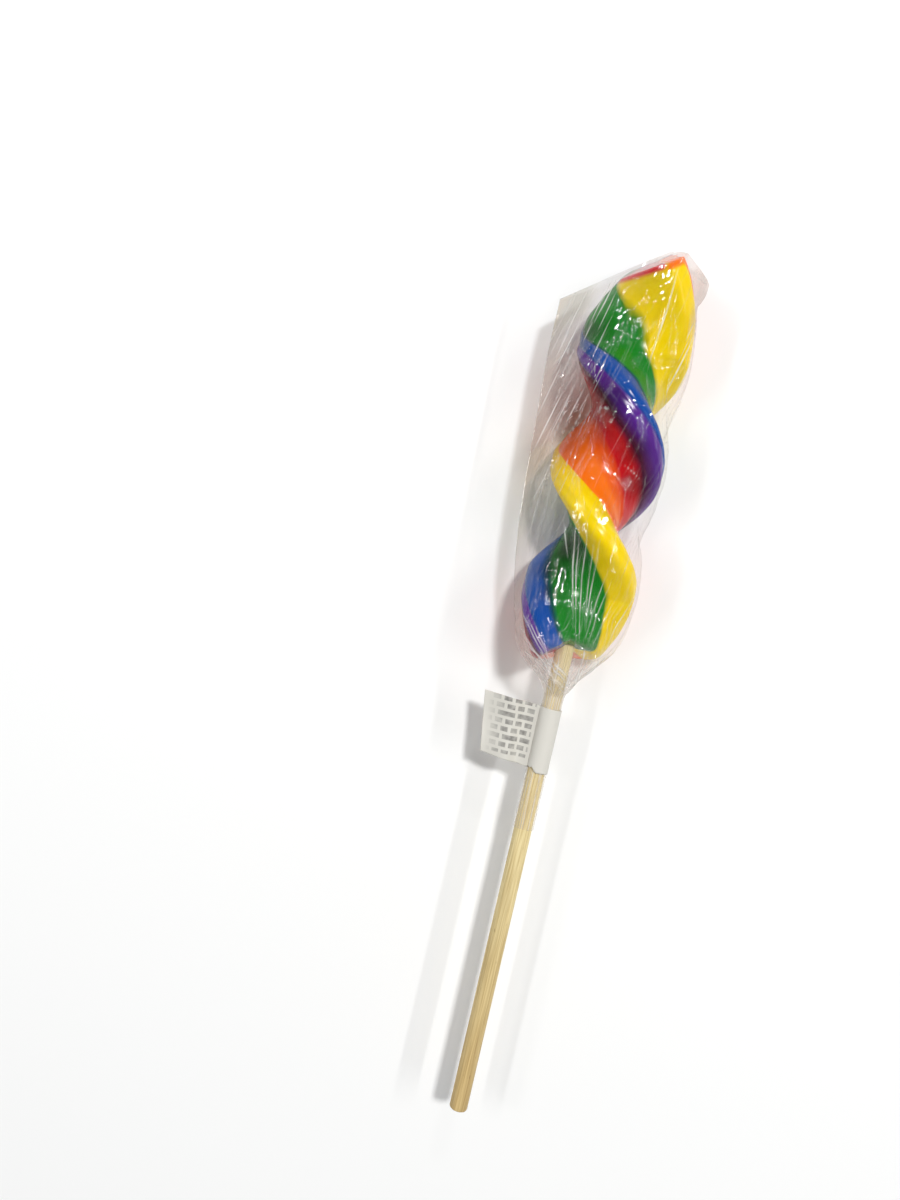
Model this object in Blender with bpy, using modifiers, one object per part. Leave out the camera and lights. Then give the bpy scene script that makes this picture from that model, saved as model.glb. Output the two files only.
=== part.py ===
"""Corkscrew lollipop: a twisted bar of six coloured strands on a birch stick, in a clear bag.

The stick runs along Y with the candy at its +Y end. The pop lies on the flat underside of its
bag, shown side up. Heights along the stick are measured from where it enters the candy (y = 0).
"""
import math

import bmesh
import bpy
from mathutils import Vector

MM = 0.001
GAP = 0.3 * MM

# Candy bar: a superellipse section, twisted left-handed
HALF_WIDTH = 14.55 * MM
HALF_THICKNESS = 6.3 * MM
SWELL = 1.7 * MM
SWELL_Y = 67.5 * MM
SWELL_REACH = 12.0 * MM
SQUARENESS = 3.0
FLAT_LOW = 13.8 * MM
FLAT_HIGH = 77.5 * MM
END_TWIST = 0.65

# Ends of the candy bar, both nipped off by blades
FOOT_Y = -0.5 * MM
FOOT_NIP = 0.9
FOOT_TILT = 0.27
TIP_X = 5.4 * MM
TIP_Y = 105.0 * MM
TIP_SLOPE = 0.7
TIP_TILT = 0.4
RIM = 2.0 * MM
END_SEARCH = 25.0 * MM
HALVINGS = 40

# Strands: colour, and the section angle in degrees where each begins, at six stations
STATIONS_Y = [height * MM for height in (0, 35, 56, 68, 84, 104)]
STRANDS = (
    ("yellow", (8, -69, -27, -22, -22, -25), (0.84, 0.63, 0.01)),
    ("green", (76, 65, 75, 86, 86, 120), (0.01, 0.22, 0.01)),
    ("blue", (123, 103, 111, 110, 168, 130), (0.005, 0.08, 0.40)),
    ("purple", (171, 191, 175, 174, 186, 138), (0.11, 0.02, 0.22)),
    ("red", (192, 242, 239, 202, 208, 146), (0.58, 0.01, 0.01)),
    ("orange", (260, 268, 270, 290, 270, 200), (0.84, 0.14, 0.005)),
)
CORE_RADIUS = 0.6 * MM
CORE_TAPER = 4.0 * MM
CORE_SHARE = 0.8
WALL_GAP = 0.36 * MM
THIN_WEDGE = WALL_GAP / 2 + 0.2 * MM
SECTION_STEP = math.radians(20)
WEDGE_STEP = math.radians(30)
LAYERS = 32
RIM_LAYERS = 2

# Birch stick
STICK_RADIUS = 2.5 * MM
STICK_BELOW = 124.7 * MM
STICK_INSIDE = 35.0 * MM
STICK_ROUND = 0.8 * MM
STICK_END_GAP = 3.0 * MM

# Clear bag: a tube gathered round the stick, with a flat fin on its left
FILM = 0.25 * MM
CLEARANCE = 0.4 * MM
BAG_RADIUS = HALF_WIDTH + CLEARANCE + 2 * FILM
TAIL_RADIUS = STICK_RADIUS + GAP + FILM
TAIL_BELOW = 49.3 * MM
BORE_TOP = 6.0 * MM
NECK_Y = -14.0 * MM
SHOULDER_RIGHT = 1.0 * MM
SHOULDER_LEFT = -3.0 * MM
SHOULDER_DEEP = -4.0 * MM
SEAM_RIDGE = 1.06
FIN_WIDTH = 22.1 * MM - BAG_RADIUS * SEAM_RIDGE
FIN_FULL_Y = 85.0 * MM
FIN_THICK = 0.5 * MM
FLAT_ANGLE = math.radians(20)
BAG_ARC = 22
SHOULDER_LAYERS = 7
BODY_LAYERS = 11
ROOF = 1.2 * MM

# Paper label: a ring round the gathered bag and a flag of two layers
LABEL_LOW = -34.3 * MM
LABEL_HIGH = -17.0 * MM
LABEL_PAPER = 0.25 * MM
LABEL_REACH_HIGH = 17.2 * MM
LABEL_REACH_LOW = 15.3 * MM

# Shading and cutting
ROUND_SIDES = 24
SHARP_ANGLE = math.radians(40)
OVERRUN = 2.0 * MM


def clear_scene():
    """Remove every object the file starts with."""
    for item in list(bpy.data.objects):
        bpy.data.objects.remove(item, do_unlink=True)


def collection(name):
    """Make a collection and link it to the scene."""
    group = bpy.data.collections.new(name)
    bpy.context.scene.collection.children.link(group)
    return group


def material(name, colour, roughness, alpha=1.0):
    """Make a Principled material of one colour."""
    finish = bpy.data.materials.new(name)
    finish.use_nodes = True
    shader = finish.node_tree.nodes["Principled BSDF"]
    shader.inputs["Base Color"].default_value = (*colour, 1.0)
    shader.inputs["Roughness"].default_value = roughness
    shader.inputs["Metallic"].default_value = 0.0
    shader.inputs["Alpha"].default_value = alpha
    return finish


def place(mesh_object, group, parent, finish):
    """Link an object to its collection, parent and material."""
    for owner in list(mesh_object.users_collection):
        owner.objects.unlink(mesh_object)
    group.objects.link(mesh_object)
    mesh_object.parent = parent
    if finish:
        mesh_object.data.materials.append(finish)
    return mesh_object


def as_cutter(mesh_object):
    """Show a cutter as wire only."""
    mesh_object.hide_render = True
    mesh_object.display_type = "WIRE"
    return mesh_object


def cut(target, cutter, operation="DIFFERENCE"):
    """Add an exact Boolean modifier to a target."""
    boolean = target.modifiers.new(operation.title(), "BOOLEAN")
    boolean.operation = operation
    boolean.solver = "EXACT"
    boolean.object = cutter


def finish_mesh(name, build):
    """Turn a bmesh into an object with smooth sides and sharp edges, facing out."""
    bmesh.ops.recalc_face_normals(build, faces=build.faces[:])
    if build.calc_volume(signed=True) < 0:
        bmesh.ops.reverse_faces(build, faces=build.faces[:])
    mesh = bpy.data.meshes.new(name)
    build.to_mesh(mesh)
    build.free()
    mesh.shade_smooth()
    mesh.set_sharp_from_angle(angle=SHARP_ANGLE)
    return bpy.data.objects.new(name, mesh)


def blend(low, high, share):
    """Read a value part of the way from low to high."""
    return low + (high - low) * share


def twist(y):
    """Give the bar's angle at a height: its yellow edge points to +X at FLAT_LOW."""
    rate = 2 * math.pi / (FLAT_HIGH - FLAT_LOW)
    middle = min(max(y, FLAT_LOW), FLAT_HIGH)
    return rate * (middle - FLAT_LOW) + END_TWIST * rate * (y - middle)


def half_thickness(y):
    """Give the bar's half thickness at a height."""
    return HALF_THICKNESS + SWELL * math.exp(-(((y - SWELL_Y) / SWELL_REACH) ** 2))


def power(value, exponent):
    """Raise a signed value to a power, keeping its sign."""
    return math.copysign(abs(value) ** exponent, value)


def section_point(angle, y, grow=0.0):
    """Give x and z of a point on the twisted section, at a section angle and a height."""
    wide = (HALF_WIDTH + grow) * power(math.cos(angle), 2 / SQUARENESS)
    thick = (half_thickness(y) + grow) * power(math.sin(angle), 2 / SQUARENESS)
    turn = twist(y)
    x = wide * math.cos(turn) - thick * math.sin(turn)
    z = wide * math.sin(turn) + thick * math.cos(turn)
    return x, z


def foot_surface(x, z):
    """Give the height of the nipped lower end."""
    return FOOT_Y + FOOT_NIP * min(x, 0.0) + FOOT_TILT * z


def tip_surface(x, z):
    """Give the height of the nipped upper end, a ridge that slopes both ways."""
    return TIP_Y - TIP_SLOPE * abs(x - TIP_X) - TIP_TILT * z


def fibre_end(angle_at, surface, near):
    """Find by halving where a fibre of the bar crosses the end surface near a height."""
    low = near - END_SEARCH
    high = near + END_SEARCH
    for _ in range(HALVINGS):
        middle = (low + high) / 2
        if middle > surface(*section_point(angle_at(middle), middle)):
            high = middle
        else:
            low = middle
    return (low + high) / 2


def rim_steps(grow):
    """List how deep below an end, and how far in from the side, each rim layer lies."""
    turns = [math.pi / 2 * step / RIM_LAYERS for step in range(RIM_LAYERS)]
    return [(RIM * (1 - math.cos(turn)), (RIM + grow) * (1 - math.sin(turn))) for turn in turns]


def drawn_in(spot, inset):
    """Move a spot of the section towards the axis."""
    left = 1 - inset / math.hypot(*spot)
    return spot[0] * left, spot[1] * left


def fibre_points(angle_at, grow=0.0):
    """List one fibre's points from foot to tip, each with its rise as a share of the way up."""
    foot = fibre_end(angle_at, foot_surface, FOOT_Y)
    tip = fibre_end(angle_at, tip_surface, TIP_Y)
    length = tip - foot
    points = []
    for depth, inset in rim_steps(grow):
        x, z = drawn_in(section_point(angle_at(foot), foot, grow), inset)
        points.append((Vector((x, foot_surface(x, z) + depth - grow, z)), depth / length))
    for layer in range(LAYERS + 1):
        y = blend(foot + RIM - grow, tip - RIM + grow, layer / LAYERS)
        x, z = section_point(angle_at(y), y, grow)
        points.append((Vector((x, y, z)), (y - foot) / length))
    for depth, inset in reversed(rim_steps(grow)):
        x, z = drawn_in(section_point(angle_at(tip), tip, grow), inset)
        points.append((Vector((x, tip_surface(x, z) - depth + grow, z)), 1 - depth / length))
    return points


def start_angle(strand, y):
    """Read the section angle, in radians, where a strand begins at a height."""
    lap, strand = divmod(strand, len(STRANDS))
    angles = STRANDS[strand][1]
    index = 0
    while index < len(STATIONS_Y) - 2 and y > STATIONS_Y[index + 1]:
        index += 1
    low = STATIONS_Y[index]
    high = STATIONS_Y[index + 1]
    share = min(max((y - low) / (high - low), 0.0), 1.0)
    smooth = share * share * (3 - 2 * share)
    return math.radians(blend(angles[index], angles[index + 1], smooth) + 360 * lap)


def core_radius(y):
    """Give the radius of the hole round the stick, which closes in above its hidden end."""
    hole = STICK_RADIUS + CLEARANCE
    above = (y - STICK_INSIDE - STICK_END_GAP) / CORE_TAPER
    return blend(hole, CORE_RADIUS, min(max(above, 0.0), 1.0))


def strand_fibres(strand):
    """List a strand's fibres, side to side: each tells its section angle at a height."""
    span = max(start_angle(strand + 1, y) - start_angle(strand, y) for y in STATIONS_Y)
    wedge = max(wedge_angle(strand, y) for y in STATIONS_Y)
    steps = math.ceil(max(span / SECTION_STEP, wedge / WEDGE_STEP))

    def fibre(share):
        return lambda y: blend(start_angle(strand, y), start_angle(strand + 1, y), share)

    return [fibre(step / steps) for step in range(steps + 1)]


def wedge_angle(strand, y):
    """Give the angle that a strand's wedge takes up round the axis at a height."""
    first = Vector(section_point(start_angle(strand, y), y))
    last = Vector(section_point(start_angle(strand + 1, y), y))
    return first.angle(last)


def wall_radius(strand, y):
    """Give how near the axis a strand's first wall comes before a wedge beside it is too thin."""
    thinnest = min(wedge_angle(strand, y), wedge_angle(strand - 1, y))
    return THIN_WEDGE / math.sin(min(thinnest / 2, math.pi / 2))


def strand_layers(strand):
    """Work out a strand's outer and inner points, layer by layer from foot to tip."""
    outer = [[] for _ in range(LAYERS + 1 + 2 * RIM_LAYERS)]
    inner = [[] for _ in outer]
    fibres = strand_fibres(strand)
    for index, angle_at in enumerate(fibres):
        share = index / (len(fibres) - 1)
        for layer, (point, rise) in enumerate(fibre_points(angle_at)):
            reach = math.hypot(point.x, point.z)
            ray = Vector((point.x / reach, 0.0, point.z / reach))
            side = Vector((-ray.z, 0.0, ray.x)) * (WALL_GAP / 2) * (1 - 2 * share)
            walls = blend(wall_radius(strand, point.y), wall_radius(strand + 1, point.y), share)
            near = max(core_radius(core_height(ray * CORE_RADIUS, rise)), walls)
            near = min(near, CORE_SHARE * reach)
            core = ray * near
            core.y = core_height(core, rise)
            outer[layer].append(point + side)
            inner[layer].append(core + side)
    return outer, inner


def core_height(point, rise):
    """Give the height, part of the way up from foot to tip, above a point of the section."""
    return blend(foot_surface(point.x, point.z), tip_surface(point.x, point.z), rise)


def two_triangles(build, near, far_side, far, near_side):
    """Fill a four-sided patch with two triangles that meet along near and far."""
    build.faces.new((near, far_side, far))
    build.faces.new((near, far, near_side))


def strand_solid(strand):
    """Build one coloured strand that runs through the bar from end to end."""
    name = "candy_" + STRANDS[strand][0]
    outer, inner = strand_layers(strand)
    build = bmesh.new()
    skin = [[build.verts.new(point) for point in layer] for layer in outer]
    core = [[build.verts.new(point) for point in layer] for layer in inner]
    last = len(skin[0]) - 1
    for low in range(len(skin) - 1):
        high = low + 1
        for left in range(last):
            right = left + 1
            two_triangles(build, skin[low][right], skin[high][right], skin[high][left], skin[low][left])
            two_triangles(build, core[low][right], core[low][left], core[high][left], core[high][right])
        for edge in (0, last):
            two_triangles(build, core[low][edge], skin[low][edge], skin[high][edge], core[high][edge])
    for layer in (0, -1):
        for left in range(last):
            right = left + 1
            build.faces.new((skin[layer][left], skin[layer][right], core[layer][right]))
            build.faces.new((skin[layer][left], core[layer][right], core[layer][left]))
    return finish_mesh(name, build)


def bar_cutter(grow):
    """Build the whole twisted bar, grown all round, as the hollow for the candy."""
    fibres = [fibre for strand in range(len(STRANDS)) for fibre in strand_fibres(strand)[:-1]]
    count = len(fibres)
    build = bmesh.new()
    skin = []
    for angle_at in fibres:
        skin.append([build.verts.new(point) for point, _ in fibre_points(angle_at, grow)])
    for index in range(count):
        left = skin[index]
        right = skin[(index + 1) % count]
        for low in range(len(left) - 1):
            two_triangles(build, right[low], right[low + 1], left[low + 1], left[low])
    foot = build.verts.new((0.0, foot_surface(0.0, 0.0) - grow, 0.0))
    tip = build.verts.new((0.0, tip_surface(0.0, 0.0) + grow, 0.0))
    for index in range(count):
        right = skin[(index + 1) % count]
        build.faces.new((foot, skin[index][0], right[0]))
        build.faces.new((tip, skin[index][-1], right[-1]))
    return finish_mesh("bar_hollow", build)


def stick_solid():
    """Build the birch dowel with rounded ends, its top end hidden in the candy."""
    length = STICK_BELOW + STICK_INSIDE
    middle = (STICK_INSIDE - STICK_BELOW) / 2
    bpy.ops.mesh.primitive_cylinder_add(
        vertices=ROUND_SIDES,
        radius=STICK_RADIUS,
        depth=length,
        location=(0.0, middle, 0.0),
        rotation=(math.radians(90), 0.0, 0.0),
    )
    stick = bpy.context.object
    stick.name = "stick"
    stick.data.shade_smooth()
    stick.data.set_sharp_from_angle(angle=SHARP_ANGLE)
    ends = stick.modifiers.new("Rounded ends", "BEVEL")
    ends.width = STICK_ROUND
    ends.segments = 3
    ends.limit_method = "ANGLE"
    ends.angle_limit = SHARP_ANGLE
    return stick


def shoulder(y, top):
    """Give a radius that swells from the neck of the bag to its body."""
    share = min(max((y - NECK_Y) / (top - NECK_Y), 0.0), 1.0)
    return blend(TAIL_RADIUS, BAG_RADIUS, math.sin(math.pi / 2 * share))


def bag_outline(y):
    """List the bag's outline at a height: a round body, drawn out to a flat fin at -X."""
    right = shoulder(y, SHOULDER_RIGHT)
    left = shoulder(y, SHOULDER_LEFT)
    deep = shoulder(y, SHOULDER_DEEP)
    grown = min(max((y - NECK_Y) / (FIN_FULL_Y - NECK_Y), 0.0), 1.0)
    fin = left * SEAM_RIDGE + FIN_WIDTH * math.sqrt(grown)
    reach = math.pi - math.acos(left / fin)
    points = []
    for index in range(BAG_ARC):
        angle = blend(-reach, reach, index / (BAG_ARC - 1))
        x = (right if math.cos(angle) > 0 else left) * math.cos(angle)
        z = deep * math.sin(angle)
        off_bottom = angle + math.pi / 2
        if abs(off_bottom) < FLAT_ANGLE:
            z = -deep
            x = deep * math.tan(off_bottom)
        points.append((x, z))
    thin = min(FIN_THICK, deep) / 2
    points.append((-fin, thin))
    points.append((-fin, -thin))
    return points


def bag_shell():
    """Build the bag's outer shape, its top sloping down both ways from the candy's tip."""
    peak = TIP_Y + CLEARANCE + ROOF
    build = bmesh.new()
    layers = []
    levels = [-TAIL_BELOW]
    levels += [blend(NECK_Y, SHOULDER_RIGHT, step / SHOULDER_LAYERS) for step in range(SHOULDER_LAYERS)]
    levels += [blend(SHOULDER_RIGHT, peak, step / BODY_LAYERS) for step in range(BODY_LAYERS + 1)]
    for level in levels:
        ring = []
        for x, z in bag_outline(level):
            roof = tip_surface(x, z) + CLEARANCE + ROOF
            rise = max(0.0, (level - FIN_FULL_Y / 2) / (peak - FIN_FULL_Y / 2))
            ring.append(build.verts.new((x, level + (roof - peak) * rise, z)))
        layers.append(ring)
    count = len(layers[0])
    for low in range(len(levels) - 1):
        for index in range(count):
            following = (index + 1) % count
            near = (layers[low][index], layers[low][following])
            far = (layers[low + 1][following], layers[low + 1][index])
            build.faces.new(near + far)
    for ring in (layers[0], layers[-1]):
        cap_across(build, ring)
    bmesh.ops.triangulate(build, faces=build.faces[:])
    return finish_mesh("bag", build)


def cap_across(build, ring):
    """Close a ring with strips that run from its upper side to its lower side."""
    upper = len(ring) - 2
    lower = len(ring) - 1
    build.faces.new((ring[upper], ring[lower], ring[0], ring[BAG_ARC - 1]))
    for index in range(BAG_ARC // 2 - 1):
        opposite = BAG_ARC - 1 - index
        build.faces.new((ring[index], ring[index + 1], ring[opposite - 1], ring[opposite]))


def cylinder_along_y(name, radius, low, high):
    """Add a cylinder round the stick's axis between two heights."""
    bpy.ops.mesh.primitive_cylinder_add(
        vertices=ROUND_SIDES,
        radius=radius,
        depth=high - low,
        location=(0.0, (low + high) / 2, 0.0),
        rotation=(math.radians(90), 0.0, 0.0),
    )
    cylinder = bpy.context.object
    cylinder.name = name
    return cylinder


def label_flag():
    """Build the flag of two layers, its free edge cut at a slant."""
    bpy.ops.mesh.primitive_cube_add(size=1.0)
    flag = bpy.context.object
    flag.name = "label_flag"
    for corner in flag.data.vertices:
        high = corner.co.y > 0
        reach = LABEL_REACH_HIGH if high else LABEL_REACH_LOW
        root = TAIL_RADIUS + GAP + LABEL_PAPER / 2
        x = -reach if corner.co.x < 0 else -root
        y = LABEL_HIGH if high else LABEL_LOW
        corner.co = Vector((x, y, corner.co.z * 2 * LABEL_PAPER))
    return flag


def main():
    """Make every sub-part and stand the pop on the origin."""
    clear_scene()
    parts = collection("corkscrew_lollipop")
    cutters = collection("cutters")
    root = bpy.data.objects.new("lollipop", None)
    parts.objects.link(root)

    for index, (colour_name, _, colour) in enumerate(STRANDS):
        finish = material("candy " + colour_name, colour, 0.3)
        place(strand_solid(index), parts, root, finish)

    birch = material("birch", (0.74, 0.60, 0.34), 0.6)
    place(stick_solid(), parts, root, birch)

    bag = place(bag_shell(), parts, root, material("clear film", (0.9, 0.9, 0.92), 0.1, 0.25))
    hollow = as_cutter(place(bar_cutter(CLEARANCE), cutters, root, None))
    bore = cylinder_along_y("stick_hollow", STICK_RADIUS + GAP, -TAIL_BELOW - OVERRUN, BORE_TOP)
    as_cutter(place(bore, cutters, root, None))
    cut(bag, hollow)
    cut(bag, bore)

    ring = cylinder_along_y("label", TAIL_RADIUS + GAP + LABEL_PAPER, LABEL_LOW, LABEL_HIGH)
    place(ring, parts, root, material("paper", (0.80, 0.78, 0.74), 0.75))
    flag = as_cutter(place(label_flag(), cutters, root, None))
    neck = cylinder_along_y("label_hollow", TAIL_RADIUS + GAP, LABEL_LOW - OVERRUN, LABEL_HIGH + OVERRUN)
    as_cutter(place(neck, cutters, root, None))
    cut(ring, flag, "UNION")
    cut(ring, neck)

    stand_on_origin(root, parts)


def stand_on_origin(root, parts):
    """Move the whole so that the middle of its underside lies on the origin."""
    bpy.context.view_layer.update()
    scene_state = bpy.context.evaluated_depsgraph_get()
    corners = []
    for part in parts.objects:
        if part.type == "MESH":
            solid = part.evaluated_get(scene_state)
            corners += [solid.matrix_world @ Vector(corner) for corner in solid.bound_box]
    lowest = [min(corner[axis] for corner in corners) for axis in range(3)]
    highest = [max(corner[axis] for corner in corners) for axis in range(3)]
    middle_x = (lowest[0] + highest[0]) / 2
    middle_y = (lowest[1] + highest[1]) / 2
    root.location = (-middle_x, -middle_y, -lowest[2])


main()
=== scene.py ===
"""A corkscrew lollipop in its clear bag, lying with its shown side up.

The add-on's operators build the candy bar, the birch stick, the bag of crackly film and the folded
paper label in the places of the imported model, and a plain studio round them. Places are given from
the stick's axis: x to the right, y = 0 where the stick enters the candy, and z out of the shown side.
"""

import math

import bpy
import numpy as np
from bpy.props import FloatProperty, FloatVectorProperty, IntProperty, PointerProperty
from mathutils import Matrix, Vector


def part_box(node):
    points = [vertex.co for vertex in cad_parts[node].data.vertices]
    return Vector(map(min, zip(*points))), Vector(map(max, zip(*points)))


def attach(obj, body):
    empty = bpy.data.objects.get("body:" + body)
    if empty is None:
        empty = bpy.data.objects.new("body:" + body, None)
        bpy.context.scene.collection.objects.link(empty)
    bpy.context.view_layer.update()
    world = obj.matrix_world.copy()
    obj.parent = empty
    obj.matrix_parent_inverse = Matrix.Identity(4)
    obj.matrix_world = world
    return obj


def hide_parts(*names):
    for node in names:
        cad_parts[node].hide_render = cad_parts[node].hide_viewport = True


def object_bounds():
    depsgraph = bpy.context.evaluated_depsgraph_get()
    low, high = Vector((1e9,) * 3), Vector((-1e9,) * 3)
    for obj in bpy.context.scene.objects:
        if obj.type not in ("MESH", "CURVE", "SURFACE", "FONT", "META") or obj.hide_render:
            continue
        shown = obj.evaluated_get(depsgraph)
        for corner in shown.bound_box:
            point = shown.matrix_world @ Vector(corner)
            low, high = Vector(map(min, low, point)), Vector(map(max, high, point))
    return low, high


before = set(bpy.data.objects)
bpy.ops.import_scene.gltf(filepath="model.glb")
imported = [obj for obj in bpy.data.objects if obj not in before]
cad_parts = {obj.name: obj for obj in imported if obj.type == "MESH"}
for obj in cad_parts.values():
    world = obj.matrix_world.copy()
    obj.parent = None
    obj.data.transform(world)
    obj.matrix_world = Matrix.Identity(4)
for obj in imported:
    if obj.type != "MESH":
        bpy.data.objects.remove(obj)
CAD_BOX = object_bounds()

bl_info = {
    "name": "Corkscrew lollipop",
    "version": (1, 0, 0),
    "blender": (4, 5, 0),
    "location": "3D View > Sidebar > Lollipop",
    "description": "Builds a twisted lollipop in a clear bag, with its stick, label and studio",
    "category": "Object",
}

MM = 0.001
BODY = "root"

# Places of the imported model
STICK_LOW, STICK_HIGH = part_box("stick")
LABEL_BOTTOM, LABEL_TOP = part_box("label")
STICK_INSIDE = 35.0 * MM
AXIS = np.array([
    (STICK_LOW[0] + STICK_HIGH[0]) / 2,
    STICK_HIGH[1] - STICK_INSIDE,
    (STICK_LOW[2] + STICK_HIGH[2]) / 2,
])
FLOOR_Z = CAD_BOX[0][2] - AXIS[2]

# Candy bar: a superellipse section that swells once, and makes one left-handed turn between the two
# heights where it lies flat; beyond them it twists at the share END_TWIST of that rate
SQUARENESS = 3.0
SWELL = 1.7 * MM
SWELL_Y = 67.5 * MM
SWELL_REACH = 12.0 * MM
FLAT_LOW = 13.8 * MM
FLAT_HIGH = 77.5 * MM
END_TWIST = 0.65

# Its nipped ends: their heights and slopes, their rounded rims, the hole for the stick, and how far
# and how often to halve in the search for the height where the side meets them
FOOT_Y = -0.5 * MM
FOOT_NIP = 0.9
FOOT_TILT = 0.27
TIP_X = 5.4 * MM
TIP_Y = 106.0 * MM
TIP_SLOPE = 0.7
TIP_TILT = 0.4
RIM = 2.0 * MM
RIM_ROWS = 7
FACE_ROWS = 12
HOLE_SPARE = 0.3 * MM
HOLE_MOUTH = 3.0 * MM
END_SEARCH = 25.0 * MM
HALVINGS = 30

# How much each strand bulges, and how deep and how wide, as a share of it, the join beside it is
STRAND_BULGE = 0.22 * MM
STRAND_GROOVE = 0.10 * MM
GROOVE_SHARE = 0.07

# Strands: colour, how soft its lower edge is as a share of a strand, how dark that edge is, partly
# from mixed colours and partly painted shade in the valley of the join, and the section angle in
# degrees where it begins, at six heights
STATIONS_Y = [height * MM for height in (0, 35, 56, 68, 84, 104)]
STRANDS = (
    ("yellow", "#F6D500", 0.05, 1.0, (8, -69, -27, -22, -22, -25)),
    ("green", "#0B7D18", 0.07, 0.9, (76, 65, 75, 86, 86, 120)),
    ("blue", "#00489E", 0.30, 0.45, (123, 103, 111, 110, 168, 130)),
    ("purple", "#57208E", 0.14, 0.9, (171, 191, 175, 174, 186, 138)),
    ("red", "#CB0D18", 0.80, 0.25, (192, 242, 239, 202, 208, 146)),
    ("orange", "#F57404", 0.30, 1.0, (260, 268, 270, 290, 270, 200)),
)

# Patches of painted shade in the valleys of the shown side, in millimetres: middle, size, strength,
# and the strands between which it stays, counted from yellow
PAINTED_SHADE_SPOTS = (
    (-6.3, 24.5, 6.5, 0.85, 1, 3),
    (-2.0, 27.5, 5.5, 0.85, 1, 3),
    (-7.8, 18.5, 5.0, 0.65, 1, 3),
    (-8.0, 12.5, 3.2, 0.50, 1, 3),
    (-4.0, 62.5, 5.0, 0.50, 3, 5),
    (4.6, 51.0, 3.4, 0.45, 3, 5),
    (8.0, 44.0, 4.4, 0.50, 3, 5),
    (-12.5, 80.5, 5.5, 0.60, 1, 3),
)


def linear(code):
    """Turn an sRGB hex colour into linear red, green and blue."""
    shares = [int(code[place:place + 2], 16) / 255 for place in (1, 3, 5)]
    return tuple(s / 12.92 if s <= 0.04045 else ((s + 0.055) / 1.055) ** 2.4 for s in shares)


def opaque(colour):
    """Add full alpha to a linear colour."""
    return tuple(colour) + (1.0,)


def blend(low, high, share):
    """Read a value part of the way from low to high."""
    return low + (high - low) * share


def smooth_step(low, high, value):
    """Rise softly from 0 at low to 1 at high."""
    share = np.clip((value - low) / (high - low), 0.0, 1.0)
    return share * share * (3 - 2 * share)


def tent(distance, width):
    """Give the profile of a crease: 1 on its line, falling straight to 0 at its width."""
    return np.clip(1 - np.abs(distance) / width, 0.0, 1.0)


# --- Mesh and node helpers


def select_only(piece):
    """Deselect all, then select one object and make it active."""
    for other in bpy.context.selected_objects:
        other.select_set(False)
    piece.select_set(True)
    bpy.context.view_layer.objects.active = piece


def length_property(name, description, millimetres):
    """Make the property of a size."""
    return FloatProperty(name=name, description=description, default=millimetres * MM, unit="LENGTH")


def share_property(name, description, share):
    """Make the property of a share between nothing and all."""
    return FloatProperty(
        name=name, description=description, default=share, min=0.0, max=1.0, subtype="FACTOR"
    )


def colour_property(name, description, code):
    """Make the property of a colour, given as an sRGB hex code."""
    return FloatVectorProperty(
        name=name, description=description, subtype="COLOR", min=0.0, max=1.0, default=linear(code)
    )


def count_property(name, description, count):
    """Make the property of a number of like things."""
    return IntProperty(name=name, description=description, default=count, min=0)


# Settings of a Mix node that multiplies two colours all the way
FULL_MULTIPLY = {"data_type": "RGBA", "blend_type": "MULTIPLY", "Factor": 1.0}


def rolled_grid(name, places, around=None, marks=None):
    """Make a grid primitive and lay its rows and columns on an array of places.

    around gives each grid point's two UV values, and marks its named attributes. The first and the
    last column meet, and so do points that fall together at a pole: they are welded.
    """
    rows, columns = places.shape[0] - 1, places.shape[1] - 1
    if bpy.context.object and bpy.context.object.mode != "OBJECT":
        bpy.ops.object.mode_set(mode="OBJECT")
    bpy.ops.object.select_all(action="DESELECT")
    bpy.ops.mesh.primitive_grid_add(x_subdivisions=columns, y_subdivisions=rows, size=1.0)
    piece = bpy.context.object
    piece.name = name
    mesh = piece.data
    mesh.name = name
    flat = np.empty(len(mesh.vertices) * 3)
    mesh.vertices.foreach_get("co", flat)
    flat = flat.reshape(-1, 3)
    column = np.rint((flat[:, 0] + 0.5) * columns).astype(int)
    row = np.rint((flat[:, 1] + 0.5) * rows).astype(int)
    mesh.vertices.foreach_set("co", (places[row, column] + AXIS).ravel())
    for mark, values in (marks or {}).items():
        layer = mesh.attributes.new(mark, "FLOAT", "POINT")
        layer.data.foreach_set("value", values[row, column].astype(float))
    if around is not None:
        corner = np.empty(len(mesh.loops), dtype=int)
        mesh.loops.foreach_get("vertex_index", corner)
        spots = around[row[corner], column[corner]]
        mesh.uv_layers[0].data.foreach_set("uv", spots.ravel())
    mesh.update()
    bpy.ops.object.mode_set(mode="EDIT")
    bpy.ops.mesh.select_all(action="SELECT")
    bpy.ops.mesh.remove_doubles(threshold=0.00001)
    bpy.ops.mesh.normals_make_consistent(inside=False)
    bpy.ops.object.mode_set(mode="OBJECT")
    bpy.ops.object.shade_smooth()
    return piece


def grid_normals(places):
    """Work out the direction that each point of a rolled grid faces, away from the axis."""
    along_rows = np.gradient(places, axis=1)
    seam = places[:, 1] - places[:, -2]
    along_rows[:, 0] = seam
    along_rows[:, -1] = seam
    facing = np.cross(along_rows, np.gradient(places, axis=0))
    length = np.linalg.norm(facing, axis=2, keepdims=True)
    facing = facing / np.maximum(length, 1e-12)
    outward = np.sign(np.median(facing[..., 0] * places[..., 0] + facing[..., 2] * places[..., 2]))
    return facing * outward


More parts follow.
